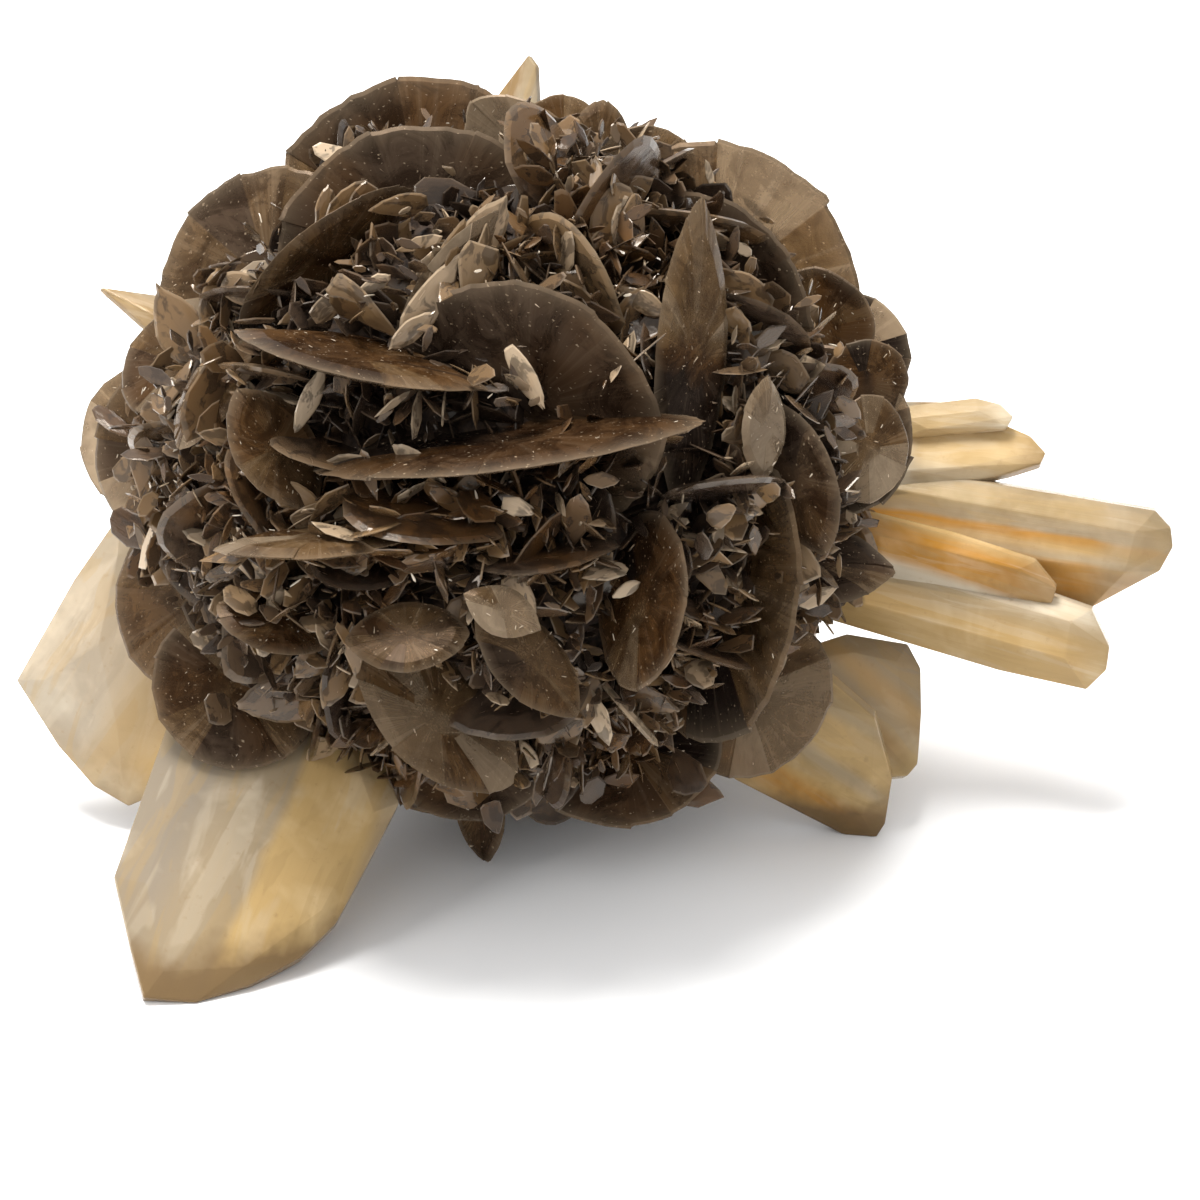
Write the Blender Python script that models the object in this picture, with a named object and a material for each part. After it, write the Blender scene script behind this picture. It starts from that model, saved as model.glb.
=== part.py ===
"""A selenite specimen: a ball-shaped rose of smoky gypsum blades, grown round honey-coloured crystals.

The rose is one solid: its heart and all its blades are fused. Each honey crystal, or group of crystals that
overlap, is a solid of its own, and its root sits in a socket that the rose grew round it.
Lengths are in millimetres and are turned into metres by MM. +Z is up, and the front is towards -Y.
"""

import math
import random
from collections import namedtuple

import bmesh
import bpy
from mathutils import Matrix, Vector, noise

MM = 0.001

# Driving dimensions of the rose
ROSE_CENTRE = Vector((-11.1, 2.2, 50.0))
HEART_HALF = Vector((42.0, 39.5, 39.0))
HEART_ROUGHNESS = 0.07
ROSE_REACH = 50.0
FLOOR_CLEARANCE = 1.6
SOCKET_GAP = 0.35

# The specimen is laid out as it is seen from the front: the eye looks down by this angle from this far,
# at a point this far across and up from the rose's centre.
SIGHT_TILT = math.radians(30.0)
EYE_DISTANCE = 433.3
EYE_ACROSS = 12.2
EYE_UP = -19.2
ACROSS = Vector((1.0, 0.0, 0.0))
UPWARD = Vector((0.0, math.sin(SIGHT_TILT), math.cos(SIGHT_TILT)))
TOWARD = Vector((0.0, -math.cos(SIGHT_TILT), math.sin(SIGHT_TILT)))

# How a rose blade is made: its flat faces end at this share of the way from its middle to its sharp rim.
FLAT_SHARE = 0.74
BIG_BLADE = 30.0
BIG_BLADE_POINTS = 14
SMALL_BLADE_POINTS = 10

# Blades that fill the rest of the ball, in groups that stand nearly parallel
FILL_SEED = 27
FILL_COUNT = 140
FILL_LENGTH = (13.0, 21.0)
FILL_WIDTH = (12.0, 18.0)
FILL_THICKNESS = (1.5, 2.2)
FILL_POINTS = 6
FILL_CLEARANCE = 7.5
GROUP_COUNT = 22

# A blade of the rose. Its middle is given as it is seen, across and up from the rose's centre, and by how
# far it stands toward the viewer. turn is its long axis's angle in the view, dip leans that axis toward the
# viewer, and facing rolls it about that axis: 0 shows its flat face and 90 its edge. taper is 0 for a disc
# and 1 for a leaf.
Blade = namedtuple("Blade", "name across up toward turn dip facing length width thickness taper")

ROSE_BLADES = (
    Blade("crown_back", -10.5, 28.0, -6.0, 0, 0, 8, 43.0, 42.0, 2.2, 0.0),
    Blade("crown_front", -11.0, 25.0, 18.0, 8, 0, 10, 37.0, 34.0, 2.2, 0.0),
    Blade("shoulder_left", -30.5, 21.5, 6.0, 60, 0, -12, 32.0, 30.0, 2.0, 0.0),
    Blade("shoulder_right", 26.5, 20.5, -3.0, -40, 0, 8, 42.0, 39.0, 2.2, 0.0),
    Blade("shoulder_right_front", 25.5, 19.0, 13.0, -50, 0, 26, 33.0, 27.0, 1.8, 0.1),
    Blade("ear_right", 44.0, 13.0, -9.0, -30, 0, 8, 18.0, 16.5, 1.8, 0.0),
    Blade("ear_right_front", 40.5, 16.0, 0.0, -60, 0, 18, 17.0, 15.0, 1.6, 0.0),
    Blade("cheek_right", 42.0, 2.5, 3.0, -70, 0, 14, 23.0, 22.0, 2.0, 0.0),
    Blade("spur_right", 40.0, -14.5, 7.0, -6, 0, -30, 21.0, 12.0, 1.6, 0.6),
    Blade("hem_right", 31.0, -31.0, 1.0, 40, 0, 8, 24.0, 23.0, 1.8, 0.0),
    Blade("great_disc_right", 25.0, -14.5, 13.0, 96, 0, -50, 46.0, 38.0, 2.2, 0.05),
    Blade("hem_bottom", 15.0, -37.5, 4.0, 4, 0, -16, 27.0, 23.0, 2.0, 0.0),
    Blade("hem_bottom_left", -4.0, -38.5, 8.0, 20, 0, 10, 22.0, 19.0, 1.8, 0.0),
    Blade("hem_left", -35.0, -30.5, 9.0, -30, 0, -14, 22.0, 21.0, 1.9, 0.0),
    Blade("flank_left_low", -39.5, -18.5, 3.0, 75, 0, -18, 27.0, 25.0, 1.9, 0.0),
    Blade("flank_left", -42.5, 0.0, 2.0, 85, 0, -15, 26.0, 24.0, 1.9, 0.0),
    Blade("flank_left_high", -42.5, 11.5, 6.0, 40, 0, -28, 17.0, 16.0, 1.6, 0.1),
    Blade("pale_disc_left", -46.8, 1.8, -12.0, 90, 0, -6, 20.0, 18.0, 1.6, 0.0),
    Blade("crown_gold", 3.5, 38.0, 4.0, -42, 0, 20, 22.0, 13.0, 1.8, 0.2),
    Blade("crown_grey", 7.5, 41.0, -6.0, -30, 0, 10, 12.0, 11.0, 1.6, 0.1),
    Blade("skyline_tip", 12.0, 39.0, -4.0, 85, 0, 10, 14.0, 9.0, 1.6, 0.4),
    Blade("skyline_plate", 17.5, 36.5, -2.0, 20, 0, 15, 15.0, 12.0, 1.6, 0.2),
    Blade("plate_right_dark", 46.5, 9.0, 6.0, 20, 0, 10, 12.0, 11.0, 1.4, 0.0),
    Blade("plate_right_low", 47.0, 0.5, 8.0, 85, 0, 12, 14.0, 11.0, 1.4, 0.0),
    Blade("amber_shelf", -19.0, 12.0, 40.0, -13, 4, -70, 31.0, 17.0, 2.2, 0.55),
    Blade("long_shelf", 0.5, 1.0, 41.0, 7, 2, -71, 47.0, 22.0, 2.4, 0.45),
    Blade("brow_disc", 2.5, 6.0, 36.0, -26, 4, 30, 36.0, 31.0, 2.0, 0.1),
    Blade("tall_spear", 24.0, 12.5, 34.0, 86, 6, 38, 38.0, 11.0, 2.2, 0.75),
    Blade("pocket_wall", -23.5, 25.5, 27.0, 38, 0, 56, 27.0, 12.0, 2.0, 0.4),
    Blade("pocket_ridge", -7.5, 21.5, 35.0, 56, 6, 44, 22.0, 9.0, 2.0, 0.6),
    Blade("inner_disc_right", 17.6, -19.0, 35.0, 84, 0, -54, 22.0, 18.0, 1.8, 0.1),
    Blade("grey_leaf", -12.8, -24.0, 39.5, 4, 0, -28, 15.0, 9.5, 1.7, 0.5),
    Blade("grey_leaf_right", 2.8, -27.0, 38.0, -48, 0, -32, 18.0, 10.0, 1.7, 0.5),
    Blade("amber_disc_low", -9.0, -34.3, 28.5, -43, 0, -24, 25.0, 14.0, 1.8, 0.3),
    Blade("pale_fan", -0.5, -20.7, 44.5, -25, 0, -12, 10.0, 6.0, 1.2, 0.9),
    Blade("bright_leaf", 33.5, 3.0, 32.0, 86, 0, 44, 13.0, 8.0, 1.4, 0.8),
    Blade("dark_leaf_right", 37.5, -3.0, 26.0, -68, 0, 40, 21.0, 12.0, 1.7, 0.5),
    Blade("amber_leaf_left", -38.0, 8.0, 24.0, 58, 0, -44, 17.0, 10.0, 1.6, 0.5),
    Blade("left_cup", -30.0, 0.5, 36.0, -58, 0, -30, 17.0, 11.0, 1.7, 0.4),
    Blade("left_shelf", -24.0, -11.5, 40.0, 4, 0, -74, 26.0, 15.0, 2.0, 0.5),
    Blade("left_low_disc", -29.5, -22.0, 29.0, -14, 0, -46, 16.0, 11.0, 1.7, 0.4),
    Blade("under_spur", -3.4, -46.5, -3.0, -82, 0, 20, 14.0, 7.0, 1.5, 0.6),
    Blade("rest_front", -5.0, -31.6, -27.4, 0, 0, 24, 22.0, 20.0, 2.4, 0.0),
    Blade("rest_back", 9.0, -27.0, -35.4, 8, 0, 36, 22.0, 20.0, 2.4, 0.0),
)
REST_BLADES = ("rest_front", "rest_back")

# Other blades grow on the faces of these. The faces of the rest are bare, out to this share of their rim and
# up to this height above them, and those of the open blades are in plain view from the front.
COVERED_BLADES = ("hem_bottom", "hem_bottom_left", "hem_left", "flank_left_low", "flank_left",
                  "pocket_ridge", "left_shelf", "left_low_disc", *REST_BLADES)
OPEN_BLADES = ("crown_back", "crown_front", "crown_gold", "crown_grey", "skyline_tip", "skyline_plate",
               "shoulder_left", "shoulder_right", "ear_right", "ear_right_front", "plate_right_dark",
               "plate_right_low", "hem_right", "pale_disc_left", "tall_spear", "pale_fan", "bright_leaf",
               "under_spur")
BARE_SHARE = 0.97
BARE_HEIGHT = 4.5
OPEN_HEIGHT = 13.0

# A honey crystal, convex and flat-faced. plane holds three points of its middle plane (across, up, toward).
# rim is its outline in that plane as it is seen, and front holds the corners of its near faces, each with
# its height above the plane. The far side has the same corners. rim_half is half the thickness that is left
# at the outline.
Crystal = namedtuple("Crystal", "plane rim front rim_half")

FRONT_BLADE = Crystal(
    plane=((-47.2, -71.2, 19.8), (-33.3, -69.3, 17.2), (-33.0, -35.0, 4.0)),
    rim=((-42.0, -30.0), (-46.3, -43.9), (-51.0, -55.5), (-48.9, -64.7), (-47.2, -71.2), (-40.4, -71.8),
         (-33.3, -69.5), (-26.8, -66.0), (-22.2, -61.5), (-18.3, -54.3), (-14.0, -45.9), (-21.0, -27.0),
         (-35.0, -24.0)),
    front=((-42.8, -45.0, 3.0), (-46.8, -56.0, 2.4), (-44.6, -67.5, 2.2), (-34.0, -66.8, 2.6),
           (-24.0, -59.5, 2.6), (-17.2, -46.8, 2.8), (-23.0, -30.0, 3.2), (-36.0, -28.0, 3.2),
           (-32.6, -55.6, 3.7), (-28.1, -43.9, 3.8)),
    rim_half=1.1,
)
LEFT_BLADE = Crystal(
    plane=((-63.4, -29.6, -13.0), (-48.9, -45.9, -12.0), (-35.0, -20.0, -9.0)),
    rim=((-50.0, -8.0), (-56.0, -16.6), (-63.4, -29.6), (-58.0, -38.1), (-53.4, -43.3), (-48.9, -45.9),
         (-42.0, -43.0), (-29.0, -27.0), (-31.0, -12.0)),
    front=((-50.5, -13.5, 2.4), (-60.0, -29.6, 1.8), (-50.0, -41.5, 2.0), (-43.0, -38.0, 2.4),
           (-33.0, -25.0, 2.8), (-34.0, -14.0, 2.8), (-53.0, -25.0, 3.1), (-50.5, -36.0, 3.0)),
    rim_half=0.9,
)
LOW_RIGHT_UPPER = Crystal(
    plane=((53.0, -28.0, -15.0), (52.0, -42.0, -11.0), (33.0, -27.0, -10.0)),
    rim=((44.0, -23.8), (51.9, -25.1), (53.6, -28.3), (53.7, -34.0), (53.2, -40.7), (51.9, -42.2),
         (44.0, -43.0), (34.0, -39.0), (28.0, -29.0)),
    front=((45.0, -26.0, 2.4), (50.8, -27.2, 2.2), (51.6, -33.5, 2.2), (49.8, -40.0, 1.9),
           (43.0, -40.8, 2.4), (34.0, -34.0, 2.8), (46.5, -33.0, 3.0)),
    rim_half=1.0,
)
LOW_RIGHT_LOWER = Crystal(
    plane=((48.5, -49.0, -12.8), (33.0, -43.0, -12.0), (34.0, -30.0, -5.0)),
    rim=((41.0, -28.0), (48.0, -34.0), (50.2, -42.0), (49.3, -47.8), (48.0, -49.8), (44.7, -49.6),
         (38.2, -45.8), (29.8, -42.0), (24.0, -36.0), (27.0, -27.0)),
    front=((42.0, -33.0, 2.6), (47.6, -42.0, 2.4), (46.2, -47.2, 2.0), (39.6, -43.8, 2.4),
           (29.0, -38.5, 2.8), (28.0, -30.0, 2.8), (38.0, -38.5, 3.3)),
    rim_half=1.1,
)
UPPER_PRISM = Crystal(
    plane=((40.0, -5.0, -13.0), (85.0, -12.0, -6.0), (62.0, -16.0, -11.0)),
    rim=((32.0, 0.8), (55.1, -2.5), (84.4, -7.4), (86.4, -9.6), (86.7, -12.1), (85.0, -15.2),
         (76.0, -20.0), (32.0, -13.0)),
    front=((32.0, -1.6, 3.6), (81.8, -10.4, 4.0), (32.0, -8.5, 4.6), (80.5, -15.6, 4.4)),
    rim_half=1.4,
)
LOWER_PRISM = Crystal(
    plane=((40.0, -14.0, -12.0), (76.0, -25.0, -6.0), (60.0, -27.0, -10.0)),
    rim=((32.0, -7.5), (60.0, -14.5), (76.2, -20.2), (78.5, -25.1), (78.1, -28.1), (75.5, -30.6),
         (64.2, -28.1), (32.0, -18.5)),
    front=((32.0, -10.5, 3.6), (73.4, -22.0, 3.8), (32.0, -15.5, 3.8), (72.6, -26.8, 3.8)),
    rim_half=1.3,
)
INNER_BLADE = Crystal(
    plane=((44.0, -11.0, -7.0), (70.0, -17.0, -3.5), (60.0, -18.0, -6.0)),
    rim=((32.0, -4.0), (58.0, -10.5), (68.8, -14.0), (71.6, -17.4), (71.0, -19.4), (62.0, -19.0),
         (32.0, -13.0)),
    front=((32.0, -6.5, 2.2), (66.5, -15.2, 2.2), (67.5, -17.8, 2.0), (32.0, -11.0, 2.2)),
    rim_half=0.8,
)
UPPER_RIGHT_BLADE = Crystal(
    plane=((44.0, 2.0, -12.0), (68.0, 0.0, -10.0), (56.0, -4.0, -9.0)),
    rim=((34.0, 6.5), (58.0, 6.2), (68.1, 1.8), (70.1, -0.4), (69.4, -1.8), (65.5, -3.0), (59.0, -4.4),
         (34.0, -7.0)),
    front=((34.0, 4.0, 2.0), (57.0, 3.8, 2.2), (66.5, -0.4, 1.8), (60.0, -1.8, 2.6), (34.0, -3.5, 2.8)),
    rim_half=0.9,
)
UPPER_RIGHT_CHIP = Crystal(
    plane=((54.0, 5.0, -9.5), (65.0, 4.5, -9.0), (58.0, 2.0, -8.5)),
    rim=((48.0, 5.4), (61.0, 6.9), (64.2, 6.1), (65.9, 4.5), (65.0, 3.0), (52.0, 1.8)),
    front=((52.0, 4.4, 1.5), (61.5, 5.4, 1.5), (63.6, 4.3, 1.3), (55.0, 3.0, 1.6)),
    rim_half=0.6,
)
TOP_SPIKE = Crystal(
    plane=((0.0, 30.0, -16.0), (3.0, 51.0, -15.0), (4.0, 40.0, -14.0)),
    rim=((-3.6, 30.0), (-1.6, 45.4), (3.1, 51.6), (4.1, 50.2), (4.4, 43.0), (3.6, 30.0)),
    front=((0.4, 30.0, 1.7), (2.9, 49.2, 0.8), (1.9, 44.0, 1.6)),
    rim_half=0.5,
)
LEFT_SPIKE = Crystal(
    plane=((-52.8, 21.0, -7.0), (-34.0, 15.0, -9.0), (-46.0, 16.0, -6.0)),
    rim=((-52.8, 21.2), (-45.6, 20.2), (-31.0, 16.5), (-32.0, 11.5), (-46.5, 15.6)),
    front=((-49.5, 19.6, 0.9), (-45.8, 18.0, 1.5), (-32.0, 14.0, 1.6)),
    rim_half=0.5,
)

HONEY_GROUPS = {
    "honey_blade_front": (FRONT_BLADE,),
    "honey_blade_left": (LEFT_BLADE,),
    "honey_blades_low_right": (LOW_RIGHT_UPPER, LOW_RIGHT_LOWER),
    "honey_cluster_right": (UPPER_PRISM, LOWER_PRISM, INNER_BLADE, UPPER_RIGHT_BLADE, UPPER_RIGHT_CHIP),
    "honey_spike_top": (TOP_SPIKE,),
    "honey_spike_left": (LEFT_SPIKE,),
}


def in_frame(across, up, toward):
    """A point from its distances to the rose's centre along the sight axes, in metres."""
    return (ROSE_CENTRE + across * ACROSS + up * UPWARD + toward * TOWARD) * MM


def seen(across, up, toward):
    """The point that stands this far toward the viewer and is seen at this place across and up."""
    nearer = 1.0 - toward / EYE_DISTANCE
    return in_frame(EYE_ACROSS + (across - EYE_ACROSS) * nearer, EYE_UP + (up - EYE_UP) * nearer, toward)


def sight_axes(turn, dip, roll):
    """Long, side and face directions of a blade, from its angles in degrees as seen from the front."""
    turn, dip, roll = (math.radians(angle) for angle in (turn, dip, roll))
    flat_long = math.cos(turn) * ACROSS + math.sin(turn) * UPWARD
    flat_side = -math.sin(turn) * ACROSS + math.cos(turn) * UPWARD
    long_way = math.cos(dip) * flat_long + math.sin(dip) * TOWARD
    flat_face = long_way.cross(flat_side)
    side_way = math.cos(roll) * flat_side + math.sin(roll) * flat_face
    return long_way, side_way, long_way.cross(side_way)


def placed(origin, axes):
    """The matrix that puts a mesh drawn in metres about zero at origin, along the three axes."""
    turned = Matrix(axes).transposed().to_4x4()
    return Matrix.Translation(origin) @ turned


def new_object(name, form, material):
    """Turns a bmesh into an object of the scene."""
    mesh = bpy.data.meshes.new(name)
    bmesh.ops.recalc_face_normals(form, faces=form.faces)
    form.to_mesh(mesh)
    form.free()
    mesh.materials.append(material)
    made = bpy.data.objects.new(name, mesh)
    bpy.context.scene.collection.objects.link(made)
    return made


def crystal_material(name, colour, roughness):
    material = bpy.data.materials.new(name)
    material.use_nodes = True
    shader = material.node_tree.nodes["Principled BSDF"]
    shader.inputs["Base Color"].default_value = (*colour, 1.0)
    shader.inputs["Roughness"].default_value = roughness
    shader.inputs["Metallic"].default_value = 0.0
    return material


def leaf_outline(length, width, taper, points):
    """Outline of a lens-shaped crystal seen flat: a disc at taper 0, a leaf with two tips at taper 1."""
    outline = []
    for step in range(points):
        angle = math.tau * step / points
        side = math.sin(angle) * abs(math.sin(angle)) ** taper
        outline.append((length / 2 * math.cos(angle), width / 2 * side))
    return outline


def lens_blade(outline, thickness):
    """A flat crystal with a sharp rim between two flat faces, drawn about its middle."""
    form = bmesh.new()
    rings = []
    for share, height in ((FLAT_SHARE, thickness / 2), (1.0, 0.0), (FLAT_SHARE, -thickness / 2)):
        rings.append([form.verts.new(Vector((x * share, y * share, height)) * MM) for x, y in outline])
    form.faces.new(rings[0])
    form.faces.new(list(reversed(rings[-1])))
    for upper, lower in zip(rings, rings[1:]):
        for step in range(len(outline)):
            after = (step + 1) % len(outline)
            form.faces.new((upper[after], upper[step], lower[step], lower[after]))
    return form


def lifted_off_table(form):
    """Raises a blade that would reach the table, since the specimen rests on a few of its points only."""
    lowest = min(vert.co.z for vert in form.verts)
    rise = max(0.0, FLOOR_CLEARANCE * MM - lowest)
    bmesh.ops.translate(form, verts=form.verts, vec=(0.0, 0.0, rise))


def rose_blade(blade, material):
    """One brown blade that is laid out by hand, as a helper that the rose is fused from."""
    points = BIG_BLADE_POINTS if blade.length > BIG_BLADE else SMALL_BLADE_POINTS
    form = lens_blade(leaf_outline(blade.length, blade.width, blade.taper, points), blade.thickness)
    axes = sight_axes(blade.turn, blade.dip, blade.facing)
    form.transform(placed(seen(blade.across, blade.up, blade.toward), axes))
    if blade.name not in REST_BLADES:
        lifted_off_table(form)
    return new_object(blade.name, form, material)


def sphere_spots(count):
    """Directions spread evenly over a ball, on a golden spiral."""
    golden = math.pi * (3.0 - math.sqrt(5.0))
    for step in range(count):
        height = 1.0 - 2.0 * (step + 0.5) / count
        ring = math.sqrt(1.0 - height * height)
        yield Vector((ring * math.cos(golden * step), ring * math.sin(golden * step), height))


def near_a_laid_blade(spot):
    """True if a blade that was laid out by hand already fills the ball here."""
    middles = (blade.across * ACROSS + blade.up * UPWARD + blade.toward * TOWARD for blade in ROSE_BLADES)
    return any((middle - spot).length < FILL_CLEARANCE for middle in middles)


def on_bare_face(spot):
    """True if a blade here would stand on the face of a large blade that is bare."""
    for blade in ROSE_BLADES:
        if blade.name in COVERED_BLADES:
            continue
        offset = ROSE_CENTRE + spot - seen(blade.across, blade.up, blade.toward) / MM
        along, side, lift = (offset.dot(way) for way in sight_axes(blade.turn, blade.dip, blade.facing))
        share = math.hypot(2 * along / blade.length, 2 * side / blade.width)
        front = OPEN_HEIGHT if blade.name in OPEN_BLADES else BARE_HEIGHT
        if share < BARE_SHARE and -BARE_HEIGHT < lift < front:
            return True
    return False


def fill_blades(material):
    """Blades over the rest of the ball. Each stands on edge, nearly parallel to the others of its group."""
    rng = random.Random(FILL_SEED)
    groups = [(spot, Vector([rng.gauss(0.0, 1.0) for _ in range(3)])) for spot in sphere_spots(GROUP_COUNT)]
    for number, way in enumerate(sphere_spots(FILL_COUNT)):
        length = rng.uniform(*FILL_LENGTH)
        width = rng.uniform(*FILL_WIDTH)
        thickness = rng.uniform(*FILL_THICKNESS)
        taper = rng.uniform(0.0, 0.5)
        lean = Vector([rng.gauss(0.0, 0.3) for _ in range(3)])
        stray = Vector([rng.gauss(0.0, 0.45) for _ in range(3)])
        spot = way * (ROSE_REACH - width / 2 - rng.uniform(0.0, 2.5))
        if near_a_laid_blade(spot) or on_bare_face(spot):
            continue
        nearest = min(groups, key=lambda group: (group[0] - way).length)
        outward = (way + lean).normalized()
        face = (nearest[1] + stray).cross(outward).normalized()
        form = lens_blade(leaf_outline(length, width, taper, FILL_POINTS), thickness)
        form.transform(placed((ROSE_CENTRE + spot) * MM, (outward.cross(face), outward, face)))
        lifted_off_table(form)
        yield new_object(f"fill_{number}", form, material)


def heart(material):
    """The mass at the middle of the rose, where its blades grow together, with an uneven surface."""
    form = bmesh.new()
    bmesh.ops.create_icosphere(form, subdivisions=2, radius=1.0)
    for vert in form.verts:
        vert.co *= 1.0 + HEART_ROUGHNESS * noise.noise(vert.co * 4.0)
    scale = Matrix.Diagonal((*(HEART_HALF * MM), 1.0))
    form.transform(Matrix.Translation(ROSE_CENTRE * MM) @ scale)
    return new_object("rose", form, material)


def on_plane(across, up, point, normal):
    """Where the line of sight at this place across and up meets a plane."""
    eye = in_frame(EYE_ACROSS, EYE_UP, EYE_DISTANCE)
    sight = in_frame(across, up, 0.0) - eye
    return eye + sight * ((point - eye).dot(normal) / sight.dot(normal))


def crystal_corners(crystal):
    """The corners of a honey crystal, in the specimen's frame."""
    point, second, third = (seen(*corner) for corner in crystal.plane)
    normal = (second - point).cross(third - point).normalized()
    if normal.dot(TOWARD) < 0:
        normal.negate()
    corners = []
    for across, up in crystal.rim:
        on_rim = on_plane(across, up, point, normal)
        corners.extend((on_rim + normal * crystal.rim_half * MM, on_rim - normal * crystal.rim_half * MM))
    for across, up, height in crystal.front:
        near = on_plane(across, up, point + normal * height * MM, normal)
        corners.extend((near, near - normal * 2 * height * MM))
    return corners


def honey_crystal(name, crystal, material, grow=0.0):
    """One honey crystal in its place. A grown one is the cutter of its socket."""
    form = bmesh.new()
    for corner in crystal_corners(crystal):
        form.verts.new(corner)
    hull = bmesh.ops.convex_hull(form, input=form.verts)
    unused = hull["geom_interior"] + hull["geom_unused"]
    inside = {item for item in unused if isinstance(item, bmesh.types.BMVert)}
    bmesh.ops.delete(form, geom=list(inside), context="VERTS")
    bmesh.ops.recalc_face_normals(form, faces=form.faces)
    form.normal_update()
    moves = [(vert, vert.normal * vert.calc_shell_factor() * grow * MM) for vert in form.verts]
    for vert, move in moves:
        vert.co += move
    return new_object(name, form, material)


def cut_at_table(made):
    """Cuts a solid off at the height of the table, so that it stands on a flat foot."""
    form = bmesh.new()
    form.from_mesh(made.data)
    whole = form.verts[:] + form.edges[:] + form.faces[:]
    cut = bmesh.ops.bisect_plane(form, geom=whole, plane_co=(0, 0, 0), plane_no=(0, 0, -1), clear_outer=True)
    edges = [item for item in cut["geom_cut"] if isinstance(item, bmesh.types.BMEdge)]
    if edges:
        bmesh.ops.holes_fill(form, edges=edges, sides=0)
    form.to_mesh(made.data)
    form.free()


def group_of(name, members):
    """A hidden collection, for a Boolean to read its shapes from."""
    group = bpy.data.collections.new(name)
    bpy.context.scene.collection.children.link(group)
    for member in members:
        bpy.context.scene.collection.objects.unlink(member)
        group.objects.link(member)
        member.hide_render = True
        member.display_type = "WIRE"
    return group


def combine(target, helpers, operation):
    """Joins helpers to the target, or cuts them from it, and keeps the result as the target's mesh."""
    group = group_of(f"{target.name}_{operation.lower()}", helpers)
    boolean = target.modifiers.new(operation, "BOOLEAN")
    boolean.operation = operation
    boolean.solver = "EXACT"
    boolean.operand_type = "COLLECTION"
    boolean.collection = group
    bpy.context.view_layer.update()
    graph = bpy.context.evaluated_depsgraph_get()
    mesh = bpy.data.meshes.new_from_object(target.evaluated_get(graph))
    target.modifiers.clear()
    target.data = mesh
    for helper in helpers:
        bpy.data.objects.remove(helper)
    bpy.data.collections.remove(group)


def drop_loose_bits(made):
    """Keeps only the largest connected body, so that no cut-off chip is left in the air."""
    form = bmesh.new()
    form.from_mesh(made.data)
    unseen = set(form.faces)
    bodies = []
    while unseen:
        body = {unseen.pop()}
        front = list(body)
        while front:
            for edge in front.pop().edges:
                fresh = [face for face in edge.link_faces if face in unseen]
                body.update(fresh)
                unseen.difference_update(fresh)
                front.extend(fresh)
        bodies.append(body)
    bodies.sort(key=len)
    loose = [face for body in bodies[:-1] for face in body]
    bmesh.ops.delete(form, geom=loose, context="FACES")
    form.to_mesh(made.data)
    form.free()


def fused(name, crystals, material):
    """Honey crystals that overlap, as one solid."""
    first, *others = [honey_crystal(f"{name}_{n}", crystal, material) for n, crystal in enumerate(crystals)]
    first.name = name
    if others:
        combine(first, others, "UNION")
        drop_loose_bits(first)
    return first


def build():
    for old in list(bpy.data.objects):
        bpy.data.objects.remove(old)
    brown = crystal_material("smoky_selenite", (0.10, 0.065, 0.04), 0.2)
    honey = crystal_material("honey_selenite", (0.80, 0.62, 0.34), 0.25)

    for name, crystals in HONEY_GROUPS.items():
        cut_at_table(fused(name, crystals, honey))

    rose = heart(brown)
    blades = [rose_blade(blade, brown) for blade in ROSE_BLADES]
    blades.extend(fill_blades(brown))
    combine(rose, blades, "UNION")
    sockets = [honey_crystal(f"socket_{name}_{n}", crystal, honey, grow=SOCKET_GAP)
               for name, crystals in HONEY_GROUPS.items() for n, crystal in enumerate(crystals)]
    combine(rose, sockets, "DIFFERENCE")
    cut_at_table(rose)
    drop_loose_bits(rose)


build()
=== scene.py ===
"""The looks of a selenite specimen: a smoky brown rose with honey-coloured crystals, on a pale table.

The rose is made of large blades laid out one by one, blades that fill the ball, books of thin leaves that
stand beside them, and many small lens-shaped leaves in the pockets. Each is a closed crystal, and each group
is one mesh. Lengths in the tables are in millimetres, and MM turns them into metres.
"""

import math
import random
from collections import namedtuple

import bmesh
import bpy
import numpy as np
from bpy.props import FloatProperty, FloatVectorProperty, IntProperty, PointerProperty
from mathutils import Matrix, Vector, noise


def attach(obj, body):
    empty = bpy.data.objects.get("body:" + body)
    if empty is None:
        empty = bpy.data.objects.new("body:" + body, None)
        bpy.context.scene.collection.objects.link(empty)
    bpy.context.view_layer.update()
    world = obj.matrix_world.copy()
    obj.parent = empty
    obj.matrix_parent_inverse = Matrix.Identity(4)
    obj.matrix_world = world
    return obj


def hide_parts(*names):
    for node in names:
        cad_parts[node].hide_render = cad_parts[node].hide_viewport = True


bl_info = {
    "name": "Selenite Specimen",
    "version": (1, 0, 0),
    "blender": (4, 5, 0),
    "location": "View3D > Sidebar > Selenite",
    "description": "Grows a smoky selenite rose and its honey crystals over their solid forms",
    "category": "Add Mesh",
}

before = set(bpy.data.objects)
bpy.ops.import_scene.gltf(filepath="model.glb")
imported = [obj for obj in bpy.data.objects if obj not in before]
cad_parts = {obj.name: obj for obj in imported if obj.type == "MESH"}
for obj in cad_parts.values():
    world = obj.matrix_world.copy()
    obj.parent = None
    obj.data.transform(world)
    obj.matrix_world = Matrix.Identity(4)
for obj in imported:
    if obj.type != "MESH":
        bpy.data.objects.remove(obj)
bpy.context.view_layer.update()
MM = 0.001

ROSE_CENTRE = Vector((-11.1, 2.2, 50.0))
HEART_HALF = Vector((42.0, 39.5, 39.0))
ROSE_REACH = 50.0
FLOOR_CLEARANCE = 0.5

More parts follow.
